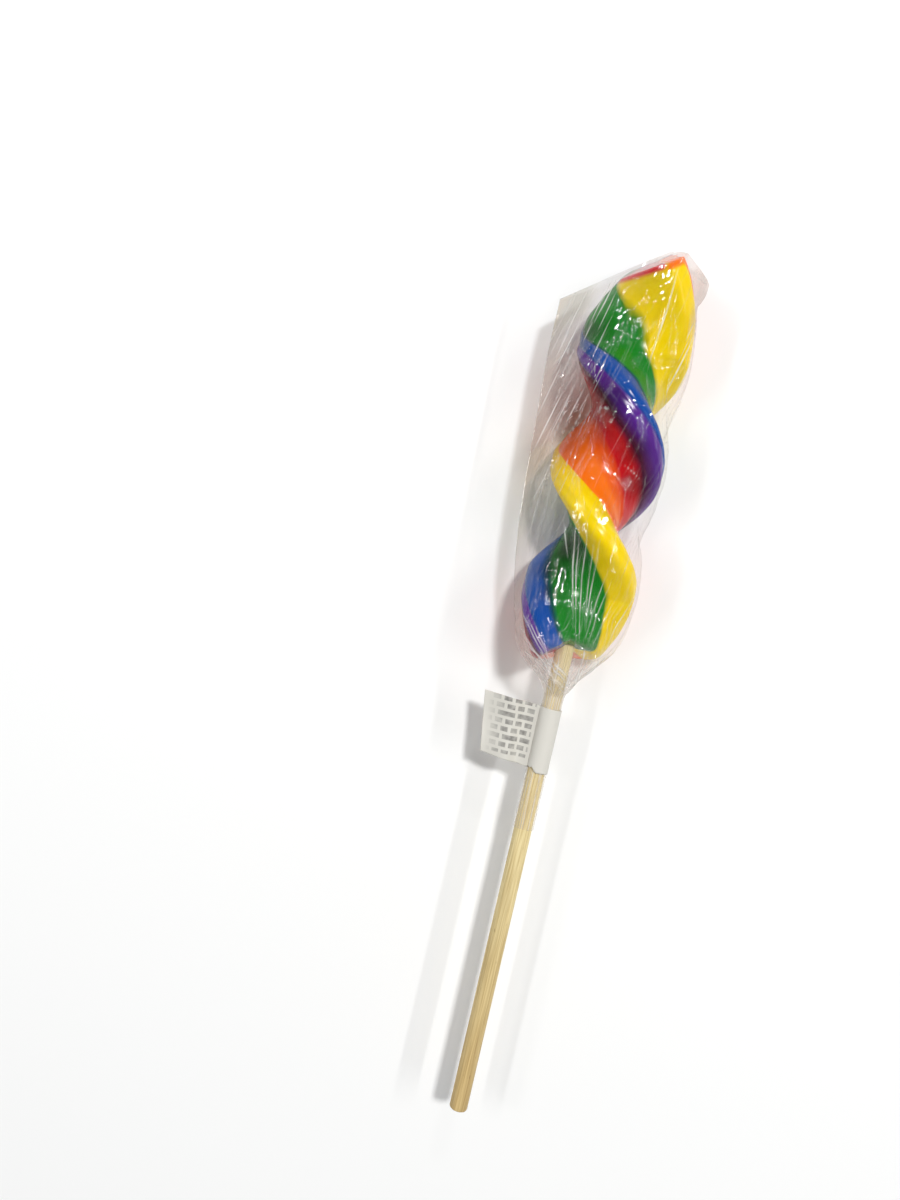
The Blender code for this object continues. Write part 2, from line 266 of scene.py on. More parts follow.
def add_node(tree, kind, settings=None, links=None):
    """Add a shader node, set its properties and inputs, and link its inputs.

    A link comes from a socket, or from a node, which means the first of its outputs that is in use.
    """
    node = tree.nodes.new("ShaderNode" + kind)
    for key, value in (settings or {}).items():
        if isinstance(key, str) and hasattr(node, key):
            setattr(node, key, value)
        else:
            node.inputs[key].default_value = value
    for key, source in (links or {}).items():
        if isinstance(source, bpy.types.Node):
            source = next(socket for socket in source.outputs if socket.enabled)
        tree.links.new(source, node.inputs[key])
    return node


def new_material(name):
    """Start a material with an empty node tree."""
    finish = bpy.data.materials.new(name)
    finish.use_nodes = True
    finish.node_tree.nodes.clear()
    return finish, finish.node_tree


def dress(piece, finish, slot, *nodes):
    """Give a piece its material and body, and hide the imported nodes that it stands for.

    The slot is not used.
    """
    piece.data.materials.clear()
    piece.data.materials.append(finish)
    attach(piece, BODY)
    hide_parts(*nodes)


# --- Candy bar


class CandySettings(bpy.types.PropertyGroup):
    """Sizes and colours of the candy bar."""

    half_width: length_property("Half width", "Half the bar's width", 14.55)
    half_thickness: length_property("Half thickness", "Half the bar's thickness", 6.3)
    hole_radius: length_property("Hole radius", "Radius of the hole that holds the stick", 2.55)
    roughness: share_property("Roughness", "Roughness of the pulled surface", 0.20)
    yellow: colour_property("Yellow", "First strand", STRANDS[0][1])
    green: colour_property("Green", "Second strand", STRANDS[1][1])
    blue: colour_property("Blue", "Third strand", STRANDS[2][1])
    purple: colour_property("Purple", "Fourth strand", STRANDS[3][1])
    red: colour_property("Red", "Fifth strand", STRANDS[4][1])
    orange: colour_property("Orange", "Sixth strand", STRANDS[5][1])


def twist(y):
    """Give the bar's angle at a height: its yellow edge points to +x at FLAT_LOW."""
    rate = 2 * math.pi / (FLAT_HIGH - FLAT_LOW)
    middle = np.clip(y, FLAT_LOW, FLAT_HIGH)
    return rate * (middle - FLAT_LOW) + END_TWIST * rate * (y - middle)


def half_depth(y, sizes):
    """Give half the bar's thickness at a height: it swells in the middle of the upper turn."""
    return sizes.half_thickness + SWELL * np.exp(-(((y - SWELL_Y) / SWELL_REACH) ** 2))


def bar_section(angle, y, sizes):
    """Give x and z of the bar's side at an angle of its section and a height."""
    across = np.abs(np.cos(angle) / sizes.half_width) ** SQUARENESS
    through = np.abs(np.sin(angle) / half_depth(y, sizes)) ** SQUARENESS
    reach = (across + through) ** (-1 / SQUARENESS)
    turned = angle + twist(y)
    return reach * np.cos(turned), reach * np.sin(turned)


def foot_surface(x, z):
    """Give the height of the nipped lower end."""
    return FOOT_Y + FOOT_NIP * np.minimum(x, 0.0) + FOOT_TILT * z


def tip_surface(x, z):
    """Give the height of the nipped upper end, a ridge that slopes both ways."""
    return TIP_Y - TIP_SLOPE * np.abs(x - TIP_X) - TIP_TILT * z


def end_height(angle, surface, near, sizes):
    """Find by halving where the side crosses an end surface."""
    low = np.full_like(angle, near - END_SEARCH)
    high = np.full_like(angle, near + END_SEARCH)
    for _ in range(HALVINGS):
        middle = (low + high) / 2
        above = middle > surface(*bar_section(angle, middle, sizes))
        high = np.where(above, middle, high)
        low = np.where(above, low, middle)
    return (low + high) / 2


def begin_angle(strand, y):
    """Read the section angle where a strand begins at a height, in radians."""
    lap, strand = divmod(strand, len(STRANDS))
    angles = STRANDS[strand][4]
    value = np.full_like(y, angles[0], dtype=float)
    for index in range(len(STATIONS_Y) - 1):
        share = smooth_step(STATIONS_Y[index], STATIONS_Y[index + 1], y)
        value = value + (angles[index + 1] - angles[index]) * share
    return np.radians(value + 360 * lap)


def strand_place(angle, y, sizes):
    """Tell which strand a side point is in, counted from yellow, and how far across it."""
    across = np.abs(np.cos(angle) / sizes.half_width) ** (SQUARENESS / 2) * np.sign(np.cos(angle))
    through = np.abs(np.sin(angle) / half_depth(y, sizes)) ** (SQUARENESS / 2) * np.sign(np.sin(angle))
    turn = np.arctan2(through, across)
    turn = turn + 2 * math.pi * np.rint((angle - turn) / (2 * math.pi))
    first = begin_angle(0, y)
    laps = np.floor((turn - first) / (2 * math.pi))
    turn = turn - 2 * math.pi * laps
    place = np.zeros_like(turn)
    for strand in range(len(STRANDS)):
        low = begin_angle(strand, y)
        high = begin_angle(strand + 1, y)
        place = place + np.clip((turn - low) / (high - low), 0.0, 1.0)
    return place + len(STRANDS) * laps


def candy_places(sizes, columns, side_rows):
    """Lay out the bar: out of the stick's hole, over the foot, up the side and over the tip."""
    angle = np.linspace(0, 2 * math.pi, columns + 1)
    foot = end_height(angle, foot_surface, FOOT_Y, sizes)
    tip = end_height(angle, tip_surface, TIP_Y, sizes)
    hole = sizes.hole_radius
    rows = []
    strands = []

    def end_row(height, surface, share_in, turn, sign, hub):
        """Add a row of an end: share_in of the way over its face, or part of a turn round its rim."""
        depth = RIM * (1 - math.cos(turn)) * sign
        x, z = bar_section(angle, height + depth, sizes)
        reach = np.hypot(x, z)
        rim = RIM * (1 - math.sin(turn))
        left = 1 - blend(rim, reach - hub, share_in) / reach
        y = height + depth + surface(x * left, z * left) - surface(x, z)
        rows.append(np.stack([x * left, y, z * left], axis=1))
        strands.append(strand_place(angle, height + depth, sizes))

    hole_top = STICK_INSIDE + HOLE_SPARE
    for radius, height in ((0.0, hole_top), (hole, hole_top), (hole, HOLE_MOUTH)):
        turned = angle + twist(foot)
        level = np.full_like(angle, height)
        rows.append(np.stack([radius * np.cos(turned), level, radius * np.sin(turned)], axis=1))
        strands.append(strand_place(angle, foot, sizes))
    for step in range(FACE_ROWS):
        end_row(foot, foot_surface, 1 - step / FACE_ROWS, 0.0, 1, hole)
    for step in range(RIM_ROWS):
        end_row(foot, foot_surface, 0.0, math.pi / 2 * step / RIM_ROWS, 1, hole)
    for step in range(side_rows + 1):
        y = blend(foot + RIM, tip - RIM, step / side_rows)
        x, z = bar_section(angle, y, sizes)
        rows.append(np.stack([x, y, z], axis=1))
        strands.append(strand_place(angle, y, sizes))
    for step in reversed(range(RIM_ROWS)):
        end_row(tip, tip_surface, 0.0, math.pi / 2 * step / RIM_ROWS, -1, 0.0)
    for step in range(1, FACE_ROWS + 1):
        end_row(tip, tip_surface, step / FACE_ROWS, 0.0, -1, 0.0)
    return np.array(rows), np.array(strands)


def candy_relief(places, strands):
    """Bulge each strand a little, sink the joins, and add the slight waves of pulled candy."""
    share = strands - np.floor(strands)
    bulge = STRAND_BULGE * np.sin(math.pi * share) ** 0.7
    groove = STRAND_GROOVE * (tent(share, GROOVE_SHARE) + tent(1 - share, GROOVE_SHARE))
    x, y, z = (places[..., axis] / MM for axis in range(3))
    waves = 0.10 * np.sin(0.31 * y + 0.23 * x) * np.cos(0.27 * z - 0.17 * y)
    waves = waves + 0.05 * np.sin(0.83 * y - 0.47 * x + 0.9) * np.sin(0.71 * z + 0.6)
    lift = bulge - groove + waves * MM - STRAND_BULGE
    clear_of_hole = smooth_step(3.5 * MM, 6.0 * MM, np.hypot(places[..., 0], places[..., 2]))
    return places + grid_normals(places) * (lift * clear_of_hole)[..., None]


def candy_marks(places, strands):
    """Mark painted shade in the shown side's valleys, and the orange and red at the nipped tip."""
    x, y, z = (places[..., axis] / MM for axis in range(3))
    below = (tip_surface(places[..., 0], places[..., 2]) - places[..., 1]) / MM
    front = smooth_step(-8, -4, z)
    peak = (1 - smooth_step(1.6, 2.8, below)) * (1 - smooth_step(2.6, 3.4, np.abs(x - 4.6)))
    cut = (1 - smooth_step(0.9, 2.4, below)) * smooth_step(-10, -7, x) * (1 - smooth_step(0.4, 2.2, x))
    dark = np.zeros_like(strands)
    kind = strands % len(STRANDS)
    # Painted shade: each patch darkens the valley it lies in, most in its middle
    for middle_x, middle_y, reach, strength, first, last in PAINTED_SHADE_SPOTS:
        away = ((x - middle_x) ** 2 + (y - middle_y) ** 2) / reach ** 2
        kept = smooth_step(first, first + 0.15, kind) * (1 - smooth_step(last - 0.15, last, kind))
        dark = np.maximum(dark, strength * np.exp(-away) * smooth_step(-4, 2, z) * kept)
    return {"dark": dark, "tip": peak * front, "cut": cut * front}


def candy_material(sizes):
    """Pulled sugar candy: opaque coloured strands fused together, smooth and glossy from the pull.

    The strands' edges blur a little where the colours ran into each other while soft.
    """
    finish, tree = new_material("Pulled sugar candy")
    place = add_node(tree, "TexCoord").outputs["Object"]
    wander, cloud, pits = (
        add_node(tree, "TexNoise", {"Scale": 1 / (size * MM), "Detail": detail}, {"Vector": place})
        for size, detail in ((9, 3.0), (5, 2.0), (1.2, 4.0))
    )
    spot = add_node(tree, "UVMap", {"uv_map": "UVMap"})
    split = add_node(tree, "SeparateXYZ", links={"Vector": spot})
    shift = add_node(tree, "Math", {"operation": "MULTIPLY_ADD", 1: 0.022, 2: -0.011}, {0: wander})
    moved = add_node(tree, "Math", {"operation": "ADD"}, {0: split, 1: shift})
    lap = add_node(tree, "Math", {"operation": "FRACT"}, {0: moved})
    painted = add_node(tree, "ValToRGB", links={"Fac": lap})
    fill_stripes(painted.color_ramp, sizes)
    for mark, colour in (("tip", sizes.orange), ("cut", sizes.red)):
        share = add_node(tree, "Attribute", {"attribute_name": mark}).outputs["Fac"]
        settings = {"data_type": "RGBA", "B": opaque(colour)}
        painted = add_node(tree, "Mix", settings, {"Factor": share, "A": painted})
    clouded = add_node(tree, "MapRange", {"To Min": 0.90, "To Max": 1.06}, {"Value": cloud})
    # Painted shade: the valleys' mark darkens the candy's colour
    dark = add_node(tree, "Attribute", {"attribute_name": "dark"}).outputs["Fac"]
    lit = add_node(tree, "Math", {"operation": "SUBTRACT", 0: 1.0}, {1: dark})
    shade = add_node(tree, "Math", {"operation": "MULTIPLY"}, {0: clouded, 1: lit})
    tinted = add_node(tree, "Mix", FULL_MULTIPLY, {"A": painted, "B": shade})
    bump = add_node(tree, "Bump", {"Strength": 0.12, "Distance": 0.1 * MM}, {"Height": pits})
    sheen = {"Roughness": sizes.roughness, "Specular IOR Level": 0.2}
    depth = {"Subsurface Weight": 0.08, "Subsurface Scale": MM}
    shader = add_node(tree, "BsdfPrincipled", sheen | depth, {"Base Color": tinted, "Normal": bump})
    add_node(tree, "OutputMaterial", links={"Surface": shader})
    return finish


def fill_stripes(ramp, sizes):
    """Set the ramp's stops: one colour a strand, with a soft and darker step between neighbours."""
    count = len(STRANDS)
    colours = [opaque(getattr(sizes, strand[0])) for strand in STRANDS]
    stops = []
    for index, strand in enumerate(STRANDS):
        after = STRANDS[(index + 1) % count]
        # Each join's stop is darkened, partly as mixed colour and partly as painted shade in its valley
        mixed_and_shaded = [strand[3] * (a + b) / 2 for a, b in zip(colours[index - 1][:3], colours[index][:3])]
        stops.append((index / count, opaque(mixed_and_shaded)))
        stops.append(((index + strand[2] / 2) / count, colours[index]))
        stops.append(((index + 1 - after[2] / 2) / count, colours[index]))
    stops.append((1.0, stops[0][1]))
    ramp.elements[0].position, ramp.elements[0].color = stops[0]
    ramp.elements[1].position, ramp.elements[1].color = stops[-1]
    for position, colour in stops[1:-1]:
        ramp.elements.new(position).color = colour


class LOLLIPOP_OT_candy(bpy.types.Operator):
    """Build the twisted bar of six candy strands."""

    bl_idname = "lollipop.candy"
    bl_label = "Candy bar"

    def execute(self, context):
        """Roll the bar's surface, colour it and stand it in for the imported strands."""
        sizes = context.scene.lollipop_candy
        places, strands = candy_places(sizes, columns=256, side_rows=270)
        places = candy_relief(places, strands)
        height = np.broadcast_to(places[..., 1] / (100 * MM), strands.shape)
        around = np.stack([strands / len(STRANDS), height], axis=2)
        candy = rolled_grid("candy", places, around, candy_marks(places, strands))
        dress(candy, candy_material(sizes), "candy_red", *["candy_" + strand[0] for strand in STRANDS])
        return {"FINISHED"}


# --- Birch stick


# How far up from its low end the stick is darker from handling, fading between these two
DARK_TO = 10.0 * MM
DARK_FROM = 72.0 * MM


class StickSettings(bpy.types.PropertyGroup):
    """Sizes and colour of the stick."""

    radius: length_property("Radius", "Radius of the dowel", 2.38)
    rounding: length_property("Rounding", "Rounding of the dowel's ends", 0.5)
    colour: colour_property("Colour", "Pale birch", "#DCCB98")


def stick_places(sizes, columns, rows):
    """Lay out the dowel from its lower end to its hidden one, with tumbled edges and faint flats."""
    low = STICK_LOW[1] - AXIS[1]
    high = STICK_HIGH[1] - AXIS[1]
    angle = np.linspace(0, 2 * math.pi, columns + 1)
    rim = sizes.rounding
    edge = [
        (low + rim * (1 - math.sin(turn)), sizes.radius - rim * (1 - math.cos(turn)))
        for turn in np.linspace(0, math.pi / 2, 7)
    ]
    rows_at = [(low, 0.0), (low, sizes.radius * 0.4)] + edge[::-1]
    rows_at += [(y, sizes.radius) for y in np.linspace(low + rim, high - rim, rows)[1:-1]]
    rows_at += [(low + high - y, radius) for y, radius in edge]
    rows_at += [(high, sizes.radius * 0.4), (high, 0.0)]
    y, radius = (column[:, None] for column in np.array(rows_at).T)
    flats = 0.012 * np.sin(5 * angle + 20 * y) + 0.008 * np.sin(9 * angle + 1.3 - 45 * y)
    fibre = 0.004 * np.sin(31 * angle + 3 * np.sin(90 * y)) + 0.003 * np.sin(47 * angle + 2.0)
    radius = radius * (0.985 + (flats + fibre) * 0.5)
    return np.stack([radius * np.cos(angle), y + 0 * angle, radius * np.sin(angle)], axis=2)


def birch_material(sizes):
    """Plain birch dowel, turned and tumbled: pale, with long fine fibres and a few dark flecks."""
    finish, tree = new_material("Plain birch dowel")
    place = add_node(tree, "TexCoord").outputs["Object"]
    patterns = []
    for across, along, detail in ((0.35, 14, 5.0), (1.6, 45, 2.0), (0.5, 2.5, 1.0)):
        scale = (1 / (across * MM), 1 / (along * MM), 1 / (across * MM))
        drawn = add_node(tree, "Mapping", {"Scale": scale}, {"Vector": place})
        patterns.append(add_node(tree, "TexNoise", {"Scale": 1.0, "Detail": detail}, {"Vector": drawn}))
    fibre, ring, fleck = patterns
    deep = [channel * share for channel, share in zip(sizes.colour, (0.78, 0.70, 0.58))]
    pale = [min(1.0, channel * 1.12) for channel in sizes.colour]
    grain = add_node(tree, "ValToRGB", links={"Fac": fibre})
    for stop, position, colour in zip(grain.color_ramp.elements, (0.32, 0.60), (deep, pale)):
        stop.position, stop.color = position, opaque(colour)
    band = {"From Min": 0.3, "From Max": 0.7, "To Min": 0.90, "To Max": 1.05}
    banding = add_node(tree, "MapRange", band, {"Value": ring})
    banded = add_node(tree, "Mix", FULL_MULTIPLY, {"A": grain, "B": banding})
    height = add_node(tree, "SeparateXYZ", links={"Vector": place}).outputs["Y"]
    low_part = {"From Min": STICK_LOW[1] + DARK_FROM, "From Max": STICK_LOW[1] + DARK_TO}
    lower = add_node(tree, "MapRange", low_part, {"Value": height})
    handled = {"data_type": "RGBA", "blend_type": "MULTIPLY", "B": (0.76, 0.67, 0.57, 1.0)}
    toned = add_node(tree, "Mix", handled, {"Factor": lower, "A": banded})
    rare = add_node(tree, "MapRange", {"From Min": 0.72, "From Max": 0.80, "To Max": 0.6}, {"Value": fleck})
    brown = {"data_type": "RGBA", "B": opaque(linear("#7A5A34"))}
    flecked = add_node(tree, "Mix", brown, {"Factor": rare, "A": toned})
    bump = add_node(tree, "Bump", {"Strength": 0.35, "Distance": 0.08 * MM}, {"Height": fibre})
    links = {"Base Color": flecked, "Normal": bump}
    shader = add_node(tree, "BsdfPrincipled", {"Roughness": 0.62, "IOR": 1.45}, links)
    add_node(tree, "OutputMaterial", links={"Surface": shader})
    return finish


class LOLLIPOP_OT_stick(bpy.types.Operator):
    """Build the birch stick."""

    bl_idname = "lollipop.stick"
    bl_label = "Birch stick"

    def execute(self, context):
        """Turn the dowel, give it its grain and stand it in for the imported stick."""
        sizes = context.scene.lollipop_stick
        stick = rolled_grid("birch_stick", stick_places(sizes, columns=96, rows=160))
        dress(stick, birch_material(sizes), "stick", "stick")
        return {"FINISHED"}


# --- Clear bag

# Heights along the bag: the tail's end, the neck, where the gathers end, and where the rows begin to
# lean with the candy's tip. The top lies over the tip, and falls no further than ROOF_LEFT.
TAIL_LOW = -49.3 * MM
NECK_Y = -14.0 * MM
SHOULDER_TOP = 6.0 * MM
LEAN_FROM = 42.0 * MM
ROOF = 0.6 * MM
PEAK = TIP_Y + ROOF
ROOF_LEFT = -22.0 * MM

# The top seam: how deep it lies on the axis, how far out it would come up to the axis, and the rows
# and the puff of the film that leads to it
SEAM_Z = -7.0 * MM
SEAM_REACH = 30.0 * MM
CAP_ROWS = 11
CAP_PUFF = 0.25 * MM

# Gaps between film and candy, room for the facets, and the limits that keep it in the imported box
FILM_GAP = 0.58 * MM
SOFT_TOUCH = 0.5 * MM
HULL_GAP = 0.5 * MM
FACET_LAYER = 0.15 * MM
LOWEST_Z = FLOOR_Z + 0.02 * MM
HIGHEST_Z = CAD_BOX[1][2] - AXIS[2] - 0.03 * MM

# Rows of the tables of reaches below y = 0, one a millimetre; half the bag's girth in millimetres;
# the white line of a crease, partly the film's white fold and partly painted highlight, as a share
# of its width; and the flutes of the gathered tail
REACH_BELOW = 20
HALF_GIRTH = 52.0
CREASE_LINE = 0.28
FLUTES = 9

# Half widths of the bag right and left of the axis, by height, and then unchanged up to the top
RIGHT_OUTLINE = (
    (-14.0, 2.62), (-12.6, 2.9), (-10.5, 3.8), (-8.8, 4.8), (-7.3, 5.8), (-5.8, 7.0), (-4.2, 8.4),
    (-2.6, 9.8), (-1.0, 11.2), (0.5, 12.3), (3.0, 13.6), (6.0, 14.4), (12.0, 14.9),
)
LEFT_OUTLINE = (
    (-14.0, 2.62), (-12.6, 2.9), (-10.5, 4.0), (-8.9, 5.6), (-7.3, 7.9), (-5.8, 9.6), (-4.2, 10.9),
    (-2.6, 12.0), (-1.0, 12.9), (0.5, 13.6), (2.1, 14.3), (6.0, 15.0), (12.0, 15.0),
)

# How far the flat fin reaches beyond the left half width, by height
FIN_OUTLINE = (
    (3.0, 0.0), (8.4, 0.9), (13.0, 2.0), (16.0, 2.7), (21.0, 3.5), (27.0, 4.3), (40.0, 5.4),
    (57.0, 6.0), (87.0, 7.1),
)

# Patches of the shown side where the film is finely ruffled, in millimetres: middle, size, strength
RUFFLES = (
    (-2.4, 87.0, 3.2, 0.9), (12.0, 77.0, 2.6, 0.8), (0.1, 76.8, 2.0, 0.6), (-3.0, 70.0, 3.0, 0.9),
    (5.7, 70.5, 2.6, 0.8), (-5.3, 53.5, 1.8, 0.7), (-0.5, 52.3, 1.8, 0.7), (-3.1, 46.9, 2.4, 0.7),
    (3.8, 43.6, 3.0, 1.0), (3.8, 20.3, 2.4, 0.6), (-7.4, 11.5, 3.2, 0.8), (2.2, 9.6, 3.6, 1.0),
)

# Flat facets that the crackly film falls into, as ridges: lean, period and depth in millimetres
FACETS = ((4.0, 2.7, 0.07), (52.0, 4.1, 0.08), (-37.0, 5.3, 0.10), (84.0, 6.9, 0.10))

# Scattered creases: the setting that counts them, the corners of the patch in which their middles
# fall, their half lengths in millimetres, and the middle and spread of their lean in degrees
SCATTERS = (
    ("creases", (-50, 4), (50, 98), (1.0, 6.0), (3, 14)),
    ("streaks", (36, 40), (50, 88), (5.0, 13.0), (-9, 5)),
)

# Creases that pull across the shown side, in millimetres: where each begins and ends, how wide and
# how high it is, and how white its line, partly the film's white fold and partly painted highlight
FRONT_CREASES = (
    (4.0, 104.0, 2.6, 74.0, 1.3, 0.55, 0.9), (-20.3, 79.5, -17.0, 86.5, 0.8, 0.5, 0.9),
    (-19.4, 71.0, -15.6, 82.5, 0.7, 0.45, 0.8), (-17.0, 74.0, -10.2, 92.0, 0.9, 0.5, 0.6),
    (-15.2, 72.0, -8.6, 91.0, 0.8, 0.45, 0.5), (-13.4, 66.0, -6.4, 90.5, 0.8, 0.4, 0.5),
    (-14.5, 52.0, -11.2, 74.0, 0.8, 0.45, 0.6), (-12.8, 50.0, -9.4, 72.0, 0.7, 0.4, 0.6),
    (-16.4, 47.0, -13.6, 71.0, 0.9, 0.45, 0.5), (-10.8, 52.5, -8.4, 66.0, 0.6, 0.35, 0.5),
    (12.4, 78.0, 10.6, 92.5, 0.6, 0.35, 0.6), (13.3, 77.0, 12.2, 88.0, 0.5, 0.3, 0.5),
    (11.2, 82.0, 9.6, 95.0, 0.5, 0.25, 0.4), (-9.2, 30.0, -5.8, 21.0, 0.9, 0.5, 0.8),
    (-6.6, 31.0, -1.0, 4.0, 0.9, 0.5, 1.0), (-5.2, 29.0, 0.2, 1.0, 0.7, 0.45, 0.8),
    (-3.6, 31.0, 1.2, 0.0, 0.8, 0.45, 0.9), (-1.2, 27.0, 2.0, 4.0, 0.7, 0.4, 0.6),
    (0.4, 26.0, 2.2, 4.0, 0.8, 0.45, 0.7), (4.2, 22.0, 2.4, 2.0, 0.7, 0.4, 0.8),
    (5.8, 19.0, 3.0, 0.0, 0.7, 0.35, 0.7), (8.6, 16.0, 3.6, -2.0, 0.7, 0.35, 0.5),
    (13.2, 17.0, 8.4, 2.0, 0.8, 0.45, 0.8), (8.4, 2.0, 3.8, -8.0, 0.8, 0.4, 0.6),
    (-14.0, 6.5, -5.4, -4.8, 1.0, 0.55, 1.0), (-12.8, 5.6, -4.2, -5.0, 0.8, 0.45, 0.9),
    (-11.0, 4.6, -3.0, -6.4, 0.8, 0.4, 0.7), (-7.8, -2.6, 2.6, -10.2, 1.1, 0.5, 1.2),
    (-6.4, -2.6, 2.8, -9.0, 0.9, 0.4, 1.0), (-6.8, -4.8, 2.2, -11.4, 0.9, 0.4, 1.0),
    (-5.2, -5.4, 2.4, -13.0, 0.8, 0.4, 0.9), (-13.6, 3.0, -5.0, -6.6, 0.8, 0.35, 1.2),
    (-12.4, 0.2, -1.6, -8.4, 0.7, 0.35, 1.2), (-10.2, -3.4, 0.6, -10.8, 0.8, 0.35, 1.2),
    (-8.4, -5.2, -0.6, -13.0, 0.8, 0.3, 1.1), (-3.4, -1.0, -1.0, -12.0, 0.7, 0.3, 1.0),
    (0.8, -2.0, 1.2, -14.0, 0.7, 0.3, 1.0), (11.0, 2.4, 4.6, -6.2, 0.7, 0.35, 0.9),
    (2.6, 1.0, 2.9, -13.0, 1.2, 0.4, 1.0), (4.2, -1.0, 2.2, -13.0, 0.9, 0.4, 0.9),
    (8.6, 1.0, 3.0, -9.0, 0.8, 0.4, 0.6), (-1.4, 68.0, 1.4, 62.0, 0.5, 0.25, 0.4),
    (6.2, 60.5, 9.4, 53.0, 0.6, 0.3, 0.5), (2.0, 47.5, 7.4, 44.5, 0.7, 0.35, 0.7),
    (-12.0, 39.0, -10.6, 52.0, 0.6, 0.4, 0.7), (-9.6, 40.0, -7.4, 50.0, 0.6, 0.35, 0.6),
    (-16.2, 20.0, -15.4, 46.0, 1.2, 0.5, 0.4), (-14.2, 12.0, -13.6, 40.0, 0.9, 0.4, 0.3),
)


class FilmSettings(bpy.types.PropertyGroup):
    """Sizes and finish of the bag."""

    fin_share: share_property("Fin", "Width of the flat fin, as a share of its full width", 1.0)
    neck_radius: length_property("Neck radius", "Radius of the gathered neck", 2.48)
    cling: share_property("Cling", "How far the film sinks onto the candy", 0.45)
    creases: count_property("Small creases", "How many small creases the film has", 150)
    streaks: count_property("Fin creases", "How many long creases run by the fin", 60)
    pleats: count_property("Pleats", "How many pleats run up from the neck", 30)
    roughness: share_property("Roughness", "Roughness of the film", 0.065)
    tint: colour_property("Tint", "Light that one layer lets through", "#FCFBFA")
    # Smoke: partly the light lost through the doubled film and partly painted shade
    smoke_and_shade: colour_property("Smoke", "Light that the layers of the fin let through", "#F1EDE9")


def film_levels():
    """List the level of each row from the tail to the top, closer together where the bag gathers."""
    tail = np.linspace(TAIL_LOW, NECK_Y, 30)[:-1]
    shoulder = np.linspace(NECK_Y, SHOULDER_TOP, 60)[:-1]
    body = np.linspace(SHOULDER_TOP, PEAK, 206)
    return np.concatenate([tail, shoulder, body])


def film_outline(sizes, columns, under):
    """Lay out the bag's smooth outer shape, row by row, with how far round each column stands."""
    level = film_levels()[:, None]
    halves = (np.linspace(-1, 0, under + 1)[:-1], np.linspace(0, 1, columns - under + 1))
    round_share = np.concatenate(halves)[None, :]
    raised = np.clip((level - NECK_Y) / (SHOULDER_TOP - NECK_Y), 0, 1)
    right, left = (np.interp(level / MM, *zip(*outline)) * MM for outline in (RIGHT_OUTLINE, LEFT_OUTLINE))
    deep = blend(sizes.neck_radius, -FLOOR_Z, np.sin(math.pi / 2 * np.clip(raised * 1.6, 0, 1)) ** 1.2)
    beyond = np.interp(level / MM, *zip(*FIN_OUTLINE)) * MM * sizes.fin_share
    fin = left + beyond
    fin_share = beyond / beyond.max()
    tangent = math.pi - np.arccos(np.clip(left / fin, -1, 1))
    arc_share = 1 - 0.16 * np.clip(fin_share * 2, 0, 1)
    turn = np.clip(np.abs(round_share) / arc_share, 0, 1) * tangent
    along_fin = np.clip((np.abs(round_share) - arc_share) / np.maximum(1 - arc_share, 1e-6), 0, 1)
    side = np.where(np.cos(turn) > 0, right, left)
    x = side * np.cos(turn)
    z = deep * np.sin(turn)
    x = blend(x, -fin, along_fin)
    z = z * (1 - along_fin) ** 1.1
    z = z * np.sign(round_share + 1e-9)
    y = np.broadcast_to(level, x.shape)
    return x, y, z, level, round_share, fin_share


def softened(table, axis):
    """Blur a table of reaches a little along one axis."""
    return (np.roll(table, 1, axis) + 2 * table + np.roll(table, -1, axis)) / 4


def candy_reach(sizes, spots=180, slices=150):
    """Measure how far the candy reaches from the axis, by direction and height, as a soft hull."""
    places, _ = candy_places(sizes, columns=360, side_rows=240)
    direction = np.arctan2(places[..., 2], places[..., 0])
    column = ((direction / (2 * math.pi)) % 1 * spots).astype(int) % spots
    row = np.clip(places[..., 1] / MM + REACH_BELOW, 0, slices - 1).astype(int)
    reach = np.zeros((slices, spots))
    np.maximum.at(reach, (row, column), np.hypot(places[..., 0], places[..., 2]))
    for axis in (0, 1):
        reach = np.maximum.reduce([np.roll(reach, step, axis) for step in (-1, 0, 1)])
    hull = np.maximum.reduce([np.roll(reach, step, 0) for step in range(-3, 4)])
    for axis in (0, 1) * 3:
        reach = np.maximum(reach, softened(reach, axis))
    for axis in (0, 1) * 6:
        hull, reach = softened(hull, axis), softened(reach, axis)
    return hull, reach


def read_reach(table, x, y, z):
    """Read a table of reaches at many places, with straight steps between its entries."""
    slices, spots = table.shape
    column = (np.arctan2(z, x) / (2 * math.pi)) % 1 * spots - 0.5
    row = np.clip(y / MM + REACH_BELOW - 0.5, 0, slices - 1.001)
    low = np.floor(row).astype(int)
    left = np.floor(column).astype(int)
    down, over = row - low, column - left
    corner = table[low, left % spots] * (1 - over) + table[low, (left + 1) % spots] * over
    above = table[low + 1, left % spots] * (1 - over) + table[low + 1, (left + 1) % spots] * over
    return corner * (1 - down) + above * down


def crease(x, y, start, end, width, height, white):
    """Raise a straight crease between two places, tapering at both ends."""
    along = np.array(end, dtype=float) - np.array(start, dtype=float)
    length = math.hypot(*along)
    ahead = along / length
    share = ((x - start[0]) * ahead[0] + (y - start[1]) * ahead[1]) / length
    off = (x - start[0]) * ahead[1] - (y - start[1]) * ahead[0]
    taper = np.sin(math.pi * np.clip(share, 0, 1)) ** 0.8
    reach = width * (0.45 + 0.55 * taper)
    return height * taper * tent(off, reach), white * taper * tent(off, reach * CREASE_LINE)


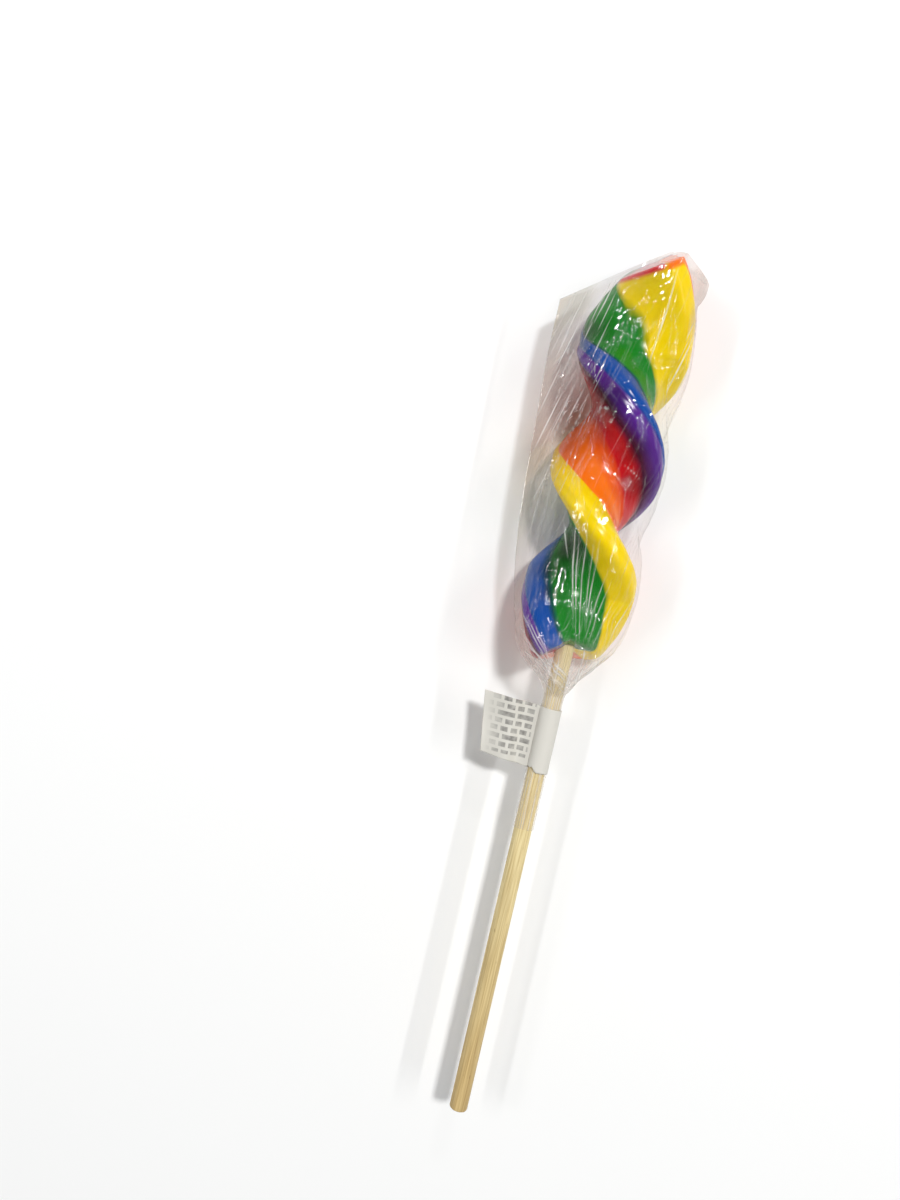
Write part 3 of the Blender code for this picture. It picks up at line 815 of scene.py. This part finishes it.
def crease_relief(sizes, chance, x, y, around, front):
    """Raise the named creases of the shown side, and scatter small ones all round."""
    lift = np.zeros_like(x)
    white = np.zeros_like(x)
    # Each crease's white line is partly the film's white fold and partly painted highlight
    for from_x, from_y, to_x, to_y, *profile in FRONT_CREASES:
        high, pale = crease(x, y, (from_x, from_y), (to_x, to_y), *profile)
        lift = lift + high * front
        white = np.maximum(white, pale * front)
    spots = []
    for counted, low, high, halves, leans in SCATTERS:
        for _ in range(getattr(sizes, counted)):
            spots.append((chance.uniform(low, high), chance.uniform(*halves), chance.normal(*leans)))
    for middle, half, lean in spots:
        step = np.array([math.sin(math.radians(lean)), math.cos(math.radians(lean))]) * half
        width = chance.uniform(0.40, 0.85)
        height = chance.choice((-1, 1, 1)) * width * chance.uniform(0.3, 0.55)
        pallor = chance.uniform(0.05, 0.45)
        high, pale = crease(around, y, middle - step, middle + step, width, height, pallor)
        lift = lift + high
        white = np.maximum(white, pale)
    return lift, white


def pleat_relief(sizes, chance, x, y, z, round_share):
    """Raise the pleats that run up from the neck and open out."""
    lift = np.zeros_like(x)
    white = np.zeros_like(x)
    radius = np.maximum(np.hypot(x, z), 2)
    above = y - NECK_Y / MM
    for index in range(sizes.pleats):
        angle = math.pi * (2 * (index + chance.uniform(-0.4, 0.4)) / sizes.pleats - 1)
        slant = chance.normal(0, 0.012)
        share = np.clip(above / (chance.uniform(6, 40) - NECK_Y / MM), 0, 1)
        off = round_share * math.pi - angle - slant * above
        off = ((off + math.pi) % (2 * math.pi) - math.pi) * radius
        width = chance.uniform(0.5, 0.9) + 0.5 * share
        height = chance.uniform(0.25, 0.6) * (1 - share) ** 0.8
        lift = lift + tent(off, width) * np.minimum(1, radius / 7) * height
        # The pleats' white lines are partly the film's white folds and partly painted highlight
        white = np.maximum(white, 0.5 * tent(off, width * CREASE_LINE) * (1 - share) ** 1.5)
    return lift, white


def facet_relief(y, around):
    """Fold the film into the flat facets that make it glint."""
    facets = np.zeros_like(y)
    for lean, period, depth in FACETS:
        across = around * math.cos(math.radians(lean)) + y * math.sin(math.radians(lean))
        bent = 0.35 * np.sin(0.9 * across / period + 0.21 * y - 0.13 * around)
        facets = facets + depth * 2 * np.abs((across / period + bent) % 1 - 0.5)
    return facets - facets.mean()


def film_relief(sizes, places, level, round_share, facing):
    """Add up the film's relief, how white each place is and how ruffled it is.

    The white is partly the film's white folds and partly painted highlight.
    """
    chance = np.random.default_rng(7)
    x, y, z = (places[..., axis] / MM for axis in range(3))
    around = round_share * HALF_GIRTH
    front = smooth_step(0.02, 0.35, facing[..., 2])
    creased, white = crease_relief(sizes, chance, x, y, around, front)
    pleated, pleat_white = pleat_relief(sizes, chance, x, y, z, round_share)
    white = np.maximum(white, pleat_white)
    in_neck = 1 - smooth_step(NECK_Y - 2 * MM, NECK_Y + 3 * MM, level)
    flutes = np.abs((round_share * FLUTES / 2 + 0.30 * np.sin(level / MM * 0.21)) % 1 - 0.5) * 2
    lift = (creased + pleated) * (1 - 0.85 * in_neck) + 0.06 * in_neck * flutes
    lift = lift + facet_relief(y, around) * smooth_step(NECK_Y, SHOULDER_TOP, level)
    ruffled = np.zeros_like(x)
    for middle_x, middle_y, reach, strength in RUFFLES:
        away = np.hypot(x - middle_x, (y - middle_y) * 0.8) / reach
        ruffled = np.maximum(ruffled, front * strength * np.exp(-(away ** 2) * 1.6))
    return lift * MM, np.clip(white, 0, 1), ruffled


def sink_onto_candy(sizes, hull, x, y, z, level, round_share):
    """Let the film sink part of the way onto the candy's soft hull, most on the shown side."""
    body = smooth_step(-1 * MM, 10 * MM, level) * (1 - smooth_step(94 * MM, 104 * MM, level))
    on_candy = 1 - smooth_step(0.66, 0.84, np.abs(round_share))
    upper = blend(0.35, 1.0, smooth_step(-6 * MM, 6 * MM, z))
    reach = np.hypot(x, z)
    spare = np.clip(reach - read_reach(hull, x, y, z) - HULL_GAP, 0, None)
    left = 1 - sizes.cling * upper * body * on_candy * spare / reach
    return x * left, z * left


def push_off_candy(tight, x, y, z, level):
    """Push the film softly out to a small gap from the candy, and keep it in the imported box."""
    reach = np.maximum(np.hypot(x, z), 1e-6)
    over = np.where(level < NECK_Y, 0.0, read_reach(tight, x, y, z) + FILM_GAP)
    gap = over - reach
    pushed = 1 + (gap + np.hypot(gap, SOFT_TOUCH)) / (2 * reach) * (over > 3 * MM)
    return x * pushed, np.clip(z * pushed, LOWEST_Z, HIGHEST_Z)


def close_top(edge, under):
    """Draw the top edges of both sides together into the seam.

    Each column of the shown side ends on one of the under side's, so that they weld.
    """
    seam = SEAM_Z * (1 - np.abs(edge[:, 0]) / SEAM_REACH)
    rows = []
    for share in np.linspace(0, 1, CAP_ROWS + 1)[1:]:
        drawn = edge.copy()
        drawn[:, 2] = blend(edge[:, 2], seam, share)
        puff = CAP_PUFF * math.sin(math.pi * share)
        drawn[:, 1] = tip_surface(drawn[:, 0], drawn[:, 2]) + ROOF + puff
        rows.append(drawn)
    partner = np.rint(np.linspace(under, 0, len(edge) - under)).astype(int)
    rows[-1][under:] = rows[-1][partner]
    return rows


def film_places(sizes, candy_sizes, columns=320):
    """Lay out the whole bag: its outline, sunk onto the candy, creased, leant over and closed."""
    under = columns * 7 // 20
    x, y, z, level, round_share, fin_share = film_outline(sizes, columns, under)
    hull, tight = candy_reach(candy_sizes)
    x, z = sink_onto_candy(sizes, hull, x, y, z, level, round_share)
    places = np.stack([x, y, z], axis=2)
    facing = grid_normals(places)
    lift, white, ruffled = film_relief(sizes, places, level, round_share, facing)
    lift = lift * smooth_step(0.0, 0.06, 1 - np.abs(round_share))
    lift = lift - FACET_LAYER * smooth_step(NECK_Y, SHOULDER_TOP, level)
    x, y, z = np.moveaxis(places + facing * lift[..., None], 2, 0)
    x, z = push_off_candy(tight, x, y, z, level)
    roof = tip_surface(np.maximum(x, ROOF_LEFT), z) + ROOF
    y = y + (roof - PEAK) * np.clip((level - LEAN_FROM) / (PEAK - LEAN_FROM), 0, 1)
    body = np.stack([x, y, z], axis=2)
    shut = [body[0] * np.array([share, 1.0, share]) for share in (0.0, 0.5)]
    marks = film_marks(x, z, level, fin_share) | {"crease": white, "ruffled": ruffled}
    for name, mark in marks.items():
        mark = np.broadcast_to(mark, x.shape)
        cap = np.zeros((CAP_ROWS, columns + 1)) + (mark[-1] if name == "layered" else 0)
        marks[name] = np.concatenate([mark[:2], mark, cap])
    return np.array([*shut, *body, *close_top(body[-1], under)]), marks


def film_marks(x, z, level, fin_share):
    """Mark where the film gathers and lies double, and where light is painted on it.

    Its long white streaks are painted highlight, and a brownish patch between the lobes is painted
    shadow of the candy and painted reflection of its red.
    """
    x, z, level = x / MM, z / MM, level / MM
    neck = 1 - smooth_step(NECK_Y / MM + 3, 4, level)
    gathered = neck * blend(0.15, 1, smooth_step(-34, -16, level))
    fin = blend(0.35, 1.0, fin_share) * smooth_step(12.0, 16.5, -x) * (level > SHOULDER_TOP / MM)
    ear = smooth_step(9.5, 12, x) * smooth_step(88, 93, level)
    # Painted highlight: long white streaks left of the candy and by its right edge
    left = smooth_step(-6, -11.5, x) * smooth_step(30, 48, level)
    right = 0.7 * smooth_step(7, 11, x) * smooth_step(48, 62, level)
    streaked = np.maximum(np.maximum(left, right), 0.12) * smooth_step(-2, 4, z)
    # Painted shadow of the candy and painted reflection of its red, in a patch between the lobes
    waist = np.hypot((x + 12) / 5, (level - 61) / 13)
    dusky = np.exp(-(waist ** 2)) * smooth_step(-4, 1, z)
    return {"gathered": gathered, "layered": np.maximum(fin, ear), "streaked": streaked, "dusky": dusky}


def film_material(sizes):
    """Crackly cellophane: clear and thin, so it only mirrors; the white lines on its creases are partly
    its white folds and partly painted highlight.

    Where it gathers at the neck and doubles in the fin, its layers add up to a grey veil, partly
    painted shade. Its long white streaks are painted highlight, and a brownish patch between the lobes
    is painted shadow of the candy and painted reflection of its red.
    """
    finish, tree = new_material("Clear cellophane")
    place = add_node(tree, "TexCoord").outputs["Object"]
    mark = {
        name: add_node(tree, "Attribute", {"attribute_name": name}).outputs["Fac"]
        for name in ("crease", "gathered", "layered", "ruffled", "streaked", "dusky")
    }

    # Long slack waves all over and short crackles in the ruffles, with their sizes in millimetres
    patterns = []
    for spans, distortion in (((0.6, 9, 0.6), 0.0), ((2.2, 0.6, 2.2), 0.6)):
        scale = tuple(1 / (span * MM) for span in spans)
        pulled = add_node(tree, "Mapping", {"Scale": scale}, {"Vector": place})
        settings = {"Scale": 1.0, "Detail": 2.0, "Distortion": distortion}
        patterns.append(add_node(tree, "TexNoise", settings, {"Vector": pulled}))
    slack, crackle = patterns
    height = add_node(tree, "Math", {"operation": "MULTIPLY"}, {0: crackle, 1: mark["ruffled"]})
    relief = add_node(tree, "Math", {"operation": "MULTIPLY_ADD", 1: 0.12}, {0: slack, 2: height})
    bump = add_node(tree, "Bump", {"Strength": 0.5, "Distance": 0.30 * MM}, {"Height": relief})
    slant = add_node(tree, "LayerWeight", {"Blend": 0.5}, {"Normal": bump}).outputs["Facing"]

    # The clear sheet mirrors little head on, more at a slant and where it lies double or ruffled
    fifth = add_node(tree, "Math", {"operation": "POWER", 1: 5.0}, {0: slant})
    mirror = add_node(tree, "Math", {"operation": "MULTIPLY_ADD", 1: 0.45, 2: 0.030}, {0: fifth})
    for name, share in (("layered", 0.08), ("ruffled", 0.06)):
        settings = {"operation": "MULTIPLY_ADD", 1: share}
        mirror = add_node(tree, "Math", settings, {0: mark[name], 2: mirror})
    # The doubled film, and film at a slant, lets less through: partly its own loss, partly painted shade
    steep = add_node(tree, "Math", {"operation": "POWER", 1: 3.0}, {0: slant})
    settings = {"operation": "MULTIPLY_ADD", "use_clamp": True, 1: 0.3}
    smoky = add_node(tree, "Math", settings, {0: steep, 2: mark["layered"]})
    settings = {"data_type": "RGBA", "A": opaque(sizes.tint), "B": opaque(sizes.smoke_and_shade)}
    tinted = add_node(tree, "Mix", settings, {"Factor": smoky})
    # Painted shadow and painted reflection: the patch darkens and warms what shows through the film
    settings = FULL_MULTIPLY | {"B": opaque(linear("#B8968A"))}
    deep = add_node(tree, "Mix", settings, {"Factor": mark["dusky"], "A": tinted})
    clear = add_node(tree, "BsdfTransparent", links={"Color": deep})
    gloss = add_node(tree, "BsdfAnisotropic", {"Roughness": sizes.roughness}, {"Normal": bump})
    film = add_node(tree, "MixShader", links={0: mirror, 1: clear, 2: gloss})

    # White marks: patchy creases, partly painted highlight; long threads of painted highlight;
    # and a veil where layers gather
    patchy = add_node(tree, "TexNoise", {"Scale": 1 / (6 * MM), "Detail": 2.0}, {"Vector": place})
    settings = {"From Min": 0.40, "From Max": 0.62, "To Min": 0.45}
    broken = add_node(tree, "MapRange", settings, {"Value": patchy})
    pale = add_node(tree, "Math", {"operation": "MULTIPLY"}, {0: mark["crease"], 1: broken})
    # Long thin white streaks of painted highlight, leaning a little
    lean = (0.0, 0.0, math.radians(-13))
    settings = {"vector_type": "TEXTURE", "Rotation": lean, "Scale": (0.42 * MM, 24 * MM, 1.0)}
    drawn = add_node(tree, "Mapping", settings, {"Vector": place})
    settings = {"Scale": 1.0, "Detail": 1.0, "Distortion": 0.4}
    painted_streak_lines = add_node(tree, "TexNoise", settings, {"Vector": drawn})
    settings = {"From Min": 0.64, "From Max": 0.73, "To Max": 0.95}
    thin = add_node(tree, "MapRange", settings, {"Value": painted_streak_lines})
    links = {0: thin, 1: mark["streaked"], 2: pale}
    pale = add_node(tree, "Math", {"operation": "MULTIPLY_ADD"}, links)
    for name, share in (("gathered", 0.26), ("layered", 0.10)):
        settings = {"operation": "MULTIPLY_ADD", "use_clamp": True, 1: share}
        pale = add_node(tree, "Math", settings, {0: mark[name], 2: pale})
    # White: the milky veil of gathered and doubled film, the creases' white folds, and painted highlight on
    # the creases and streaks
    whitish = {"Color": opaque(linear("#F4F2F0"))}
    white = add_node(tree, "BsdfDiffuse", whitish)
    through = add_node(tree, "BsdfTranslucent", whitish)
    milk_and_painted_glints = add_node(tree, "MixShader", {0: 0.25}, {1: white, 2: through})
    whole = add_node(tree, "MixShader", links={0: pale, 1: film, 2: milk_and_painted_glints})
    add_node(tree, "OutputMaterial", links={"Surface": whole})
    return finish


class LOLLIPOP_OT_film(bpy.types.Operator):
    """Build the bag of clear film."""

    bl_idname = "lollipop.film"
    bl_label = "Clear bag"

    def execute(self, context):
        """Drape the film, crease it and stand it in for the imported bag."""
        settings = context.scene
        places, marks = film_places(settings.lollipop_film, settings.lollipop_candy)
        film = rolled_grid("film", places, marks=marks)
        bpy.ops.object.shade_smooth_by_angle(angle=math.radians(50))
        dress(film, film_material(settings.lollipop_film), "film", "bag")
        return {"FINISHED"}


# --- Paper label


class LabelSettings(bpy.types.PropertyGroup):
    """Sizes and colour of the label."""

    wrap_radius: length_property("Wrap radius", "Radius of the turn round the neck", 2.88)
    paper: length_property("Paper", "Thickness of the paper", 0.14)
    reach: length_property("Reach", "How far the flag reaches from the axis", 17.9)
    colour: colour_property("Colour", "White label paper", "#D0CDC4")
    ink: colour_property("Ink", "Grey of the plain bars", "#4C4A49")


def flag_lift(x):
    """Give how far the flag stands off its plane: it dips by the neck and is creased half way out."""
    out = -x / MM
    dip = -0.7 * smooth_step(2.5, 6.5, out) + 1.5 * smooth_step(6.0, 10.1, out)
    return (dip - 1.9 * smooth_step(9.8, 17.5, out)) * MM


def label_places(sizes, rows=60):
    """Lay out the folded strip: out of the flag's front, round the neck and back along its rear."""
    radius = sizes.wrap_radius
    part = math.asin(0.35 * MM / radius)
    front_x = np.linspace(-sizes.reach, -radius * math.cos(part) - 0.3 * MM, 70)
    turn = np.linspace(math.pi - part, -math.pi + part, 60)
    back_x = front_x[::-1]
    gap = 0.12 * MM
    spread = blend(gap, 0.35 * MM, smooth_step(-5.5 * MM, -3.4 * MM, front_x))
    x = np.concatenate([front_x, radius * np.cos(turn), back_x])
    front_z, back_z = flag_lift(front_x) + spread, flag_lift(back_x) - spread[::-1]
    z = np.concatenate([front_z, radius * np.sin(turn), back_z])
    top = LABEL_TOP[1] - AXIS[1] - 0.1 * MM
    bottom = LABEL_BOTTOM[1] - AXIS[1] + 0.1 * MM
    out = np.clip(-x / sizes.reach, 0, 1)
    upper = top - 0.2 * MM + 0.9 * MM * out
    lower = bottom + 0.7 * MM * smooth_step(0.12, 0.16, out) + 1.4 * MM * np.clip(out - 0.16, 0, 1)
    slit = tent(x + 1.9 * MM, 1.3 * MM) * np.where(z > 0, 1.3 * MM, 0)
    lower = lower + slit
    share = np.linspace(0, 1, rows + 1)[:, None]
    y = blend(lower[None, :], upper[None, :], share)
    slant = -2.4 * MM * (1 - share)
    x = x[None, :] - slant * out[None, :] ** 1.5
    wave = 0.25 * MM * np.sin(2.2 * share * math.pi + 0.6) * out[None, :]
    z = z[None, :] + wave
    path = np.concatenate([[0], np.cumsum(np.hypot(np.diff(x[0]), np.diff(z[0])))])
    around = np.stack([np.broadcast_to(path, y.shape), y - bottom], axis=2)
    return np.stack([x, y, z], axis=2), around


def label_material(sizes):
    """White label paper, matt, with rows of plain grey bars where the shown side was printed."""
    finish, tree = new_material("White label paper")
    spot = add_node(tree, "UVMap", {"uv_map": "UVMap"})
    place = add_node(tree, "TexCoord").outputs["Object"]
    worn, fibres = (
        add_node(tree, "TexNoise", {"Scale": 1 / (size * MM), "Detail": detail}, {"Vector": place})
        for size, detail in ((1.5, 2.0), (0.5, 4.0))
    )
    layout = {"offset": 0.37, "offset_frequency": 2, "squash": 1.9, "squash_frequency": 3}
    greys = {"Color1": opaque((1, 1, 1)), "Color2": opaque((0.75, 0.75, 0.75)), "Mortar": opaque((0, 0, 0))}
    gaps = {"Scale": 1.0, "Mortar Size": 0.42 * MM, "Mortar Smooth": 0.2}
    bars = {"Brick Width": 2.6 * MM, "Row Height": 2.0 * MM}
    inked = add_node(tree, "TexBrick", layout | greys | gaps | bars, {"Vector": spot})
    split = add_node(tree, "SeparateXYZ", links={"Vector": spot})

    # The bars fade in from the flag's end, stop short of the wrap and start above its lower edge
    for bare, full, side in ((1.0, 5.5, "X"), (13.0, 12.6, "X"), (2.6, 2.9, "Y")):
        limits = {"From Min": bare * MM, "From Max": full * MM}
        inside = add_node(tree, "MapRange", limits, {"Value": split.outputs[side]})
        inked = add_node(tree, "Math", {"operation": "MULTIPLY"}, {0: inked, 1: inside})
    wear = {"From Min": 0.3, "From Max": 0.7, "To Min": 0.35, "To Max": 0.85}
    faded = add_node(tree, "MapRange", wear, {"Value": worn})
    strength = add_node(tree, "Math", {"operation": "MULTIPLY"}, {0: inked, 1: faded})
    settings = {"data_type": "RGBA", "A": opaque(sizes.colour), "B": opaque(sizes.ink)}
    colour = add_node(tree, "Mix", settings, {"Factor": strength})
    bump = add_node(tree, "Bump", {"Strength": 0.3, "Distance": 0.04 * MM}, {"Height": fibres})
    links = {"Base Color": colour, "Normal": bump}
    shader = add_node(tree, "BsdfPrincipled", {"Roughness": 0.55, "IOR": 1.5}, links)
    add_node(tree, "OutputMaterial", links={"Surface": shader})
    return finish


class LOLLIPOP_OT_label(bpy.types.Operator):
    """Build the folded paper label."""

    bl_idname = "lollipop.label"
    bl_label = "Paper label"

    def execute(self, context):
        """Fold the strip round the neck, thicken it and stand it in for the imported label."""
        sizes = context.scene.lollipop_label
        places, around = label_places(sizes)
        label = rolled_grid("paper_label", places, around)
        paper = label.modifiers.new("Paper", "SOLIDIFY")
        paper.thickness = sizes.paper
        paper.offset = 0.0
        select_only(label)
        bpy.ops.object.modifier_apply(modifier=paper.name)
        dress(label, label_material(sizes), "label", "label")
        return {"FINISHED"}


# --- Studio


class StudioSettings(bpy.types.PropertyGroup):
    """The camera's place and the floor's colour."""

    height: length_property("Camera height", "Camera above the stick's axis", 235.8)
    left: length_property("Camera left", "Camera to the left of the axis", 32.2)
    along: length_property("Camera along", "Camera's height along the stick", 4.4)
    lean: FloatProperty(
        name="Lean", description="How far the camera is turned", default=math.radians(13.1), unit="ROTATION"
    )
    view_angle: FloatProperty(
        name="View angle", description="Angle of the camera's view",
        default=2 * math.atan(2 / 3), unit="ROTATION",
    )
    floor: colour_property("Floor", "Colour of the floor", "#F4F4F3")


# Lights: name, place from the middle of the candy, width and length, power in watts
LIGHTS = (
    ("key", (0.28, 0.45, 1.40), 0.15, 0.15, 14.5),
    ("fill", (-1.00, 0.10, 1.00), 0.10, 0.15, 1.2),
    ("left_strip", (-0.50, 0.00, 0.70), 0.03, 0.45, 1.2),
    ("right_strip", (0.62, 0.05, 0.72), 0.03, 0.60, 1.8),
    ("top_lamp", (0.02, 0.85, 0.75), 0.05, 0.05, 0.6),
)


class LOLLIPOP_OT_stage(bpy.types.Operator):
    """Build the floor, the lights and the camera."""

    bl_idname = "lollipop.stage"
    bl_label = "Studio"

    def execute(self, context):
        """Lay a pale floor, light it softly and look straight down on the shown side."""
        settings = context.scene.lollipop_studio
        bpy.ops.object.select_all(action="DESELECT")
        bpy.ops.mesh.primitive_plane_add(size=3.0, location=(0.0, 0.0, CAD_BOX[0][2]))
        floor = context.object
        floor.name = "floor"
        finish, tree = new_material("Matt white board")
        shader = add_node(tree, "BsdfPrincipled", {"Base Color": opaque(settings.floor), "Roughness": 0.8})
        add_node(tree, "OutputMaterial", links={"Surface": shader})
        floor.data.materials.append(finish)

        middle = AXIS + np.array([0.0, 55 * MM, 0.0])
        for name, spot, width, length, power in LIGHTS:
            bpy.ops.object.light_add(type="AREA", location=middle + np.array(spot))
            lamp = context.object
            lamp.name = name
            lamp.data.shape = "RECTANGLE"
            lamp.data.size = width
            lamp.data.size_y = length
            lamp.data.energy = power
            aim = -np.array(spot)
            tilt_x = math.atan2(aim[1], -aim[2])
            tilt_y = math.atan2(-aim[0], math.hypot(aim[1], aim[2]))
            lamp.rotation_euler = (tilt_x, tilt_y, 0.0)
        world = bpy.data.worlds.new("Soft room")
        world.use_nodes = True
        sky = world.node_tree
        backdrop = sky.nodes["Background"]
        backdrop.inputs["Color"].default_value = opaque(linear("#F2F4F6"))
        way = add_node(sky, "TexCoord").outputs["Generated"]
        rise = add_node(sky, "SeparateXYZ", links={"Vector": way}).outputs["Z"]
        fall_off = {"From Min": 0.15, "From Max": 0.9, "To Min": 0.60, "To Max": 0.12}
        glow = add_node(sky, "MapRange", fall_off, {"Value": rise})
        sky.links.new(glow.outputs["Result"], backdrop.inputs["Strength"])
        context.scene.world = world
        context.scene.view_settings.view_transform = "Standard"

        spot = AXIS + np.array([-settings.left, settings.along, settings.height])
        bpy.ops.object.camera_add(location=spot, rotation=(0.0, 0.0, settings.lean))
        camera = context.object
        camera.data.sensor_fit = "VERTICAL"
        camera.data.angle = settings.view_angle
        camera.data.clip_start = 0.01
        context.scene.camera = camera
        return {"FINISHED"}


# --- Panel and start


class LOLLIPOP_PT_panel(bpy.types.Panel):
    """List the lollipop's operators and settings in the sidebar."""

    bl_idname = "LOLLIPOP_PT_panel"
    bl_label = "Corkscrew lollipop"
    bl_space_type = "VIEW_3D"
    bl_region_type = "UI"
    bl_category = "Lollipop"

    def draw(self, context):
        """Draw each group's button over its settings."""
        for name, operator in GROUPS:
            box = self.layout.box()
            box.operator(operator)
            group = getattr(context.scene, name)
            for key in group.bl_rna.properties.keys():
                if key not in ("rna_type", "name"):
                    box.prop(group, key)


GROUPS = (
    ("lollipop_candy", "lollipop.candy"),
    ("lollipop_stick", "lollipop.stick"),
    ("lollipop_film", "lollipop.film"),
    ("lollipop_label", "lollipop.label"),
    ("lollipop_studio", "lollipop.stage"),
)
SETTINGS = (CandySettings, StickSettings, FilmSettings, LabelSettings, StudioSettings)
CLASSES = SETTINGS + (
    LOLLIPOP_OT_candy,
    LOLLIPOP_OT_stick,
    LOLLIPOP_OT_film,
    LOLLIPOP_OT_label,
    LOLLIPOP_OT_stage,
    LOLLIPOP_PT_panel,
)


def register():
    """Register the classes and hang the settings on the scene."""
    for cls in CLASSES:
        bpy.utils.register_class(cls)
    for (name, _), cls in zip(GROUPS, SETTINGS):
        setattr(bpy.types.Scene, name, PointerProperty(type=cls))


def unregister():
    """Take the settings off the scene and unregister the classes."""
    for name, _ in GROUPS:
        delattr(bpy.types.Scene, name)
    for cls in reversed(CLASSES):
        bpy.utils.unregister_class(cls)


def main():
    """Build the whole lollipop and its studio."""
    register()
    bpy.ops.lollipop.candy()
    bpy.ops.lollipop.stick()
    bpy.ops.lollipop.film()
    bpy.ops.lollipop.label()
    bpy.ops.lollipop.stage()


if __name__ == "__main__":
    main()
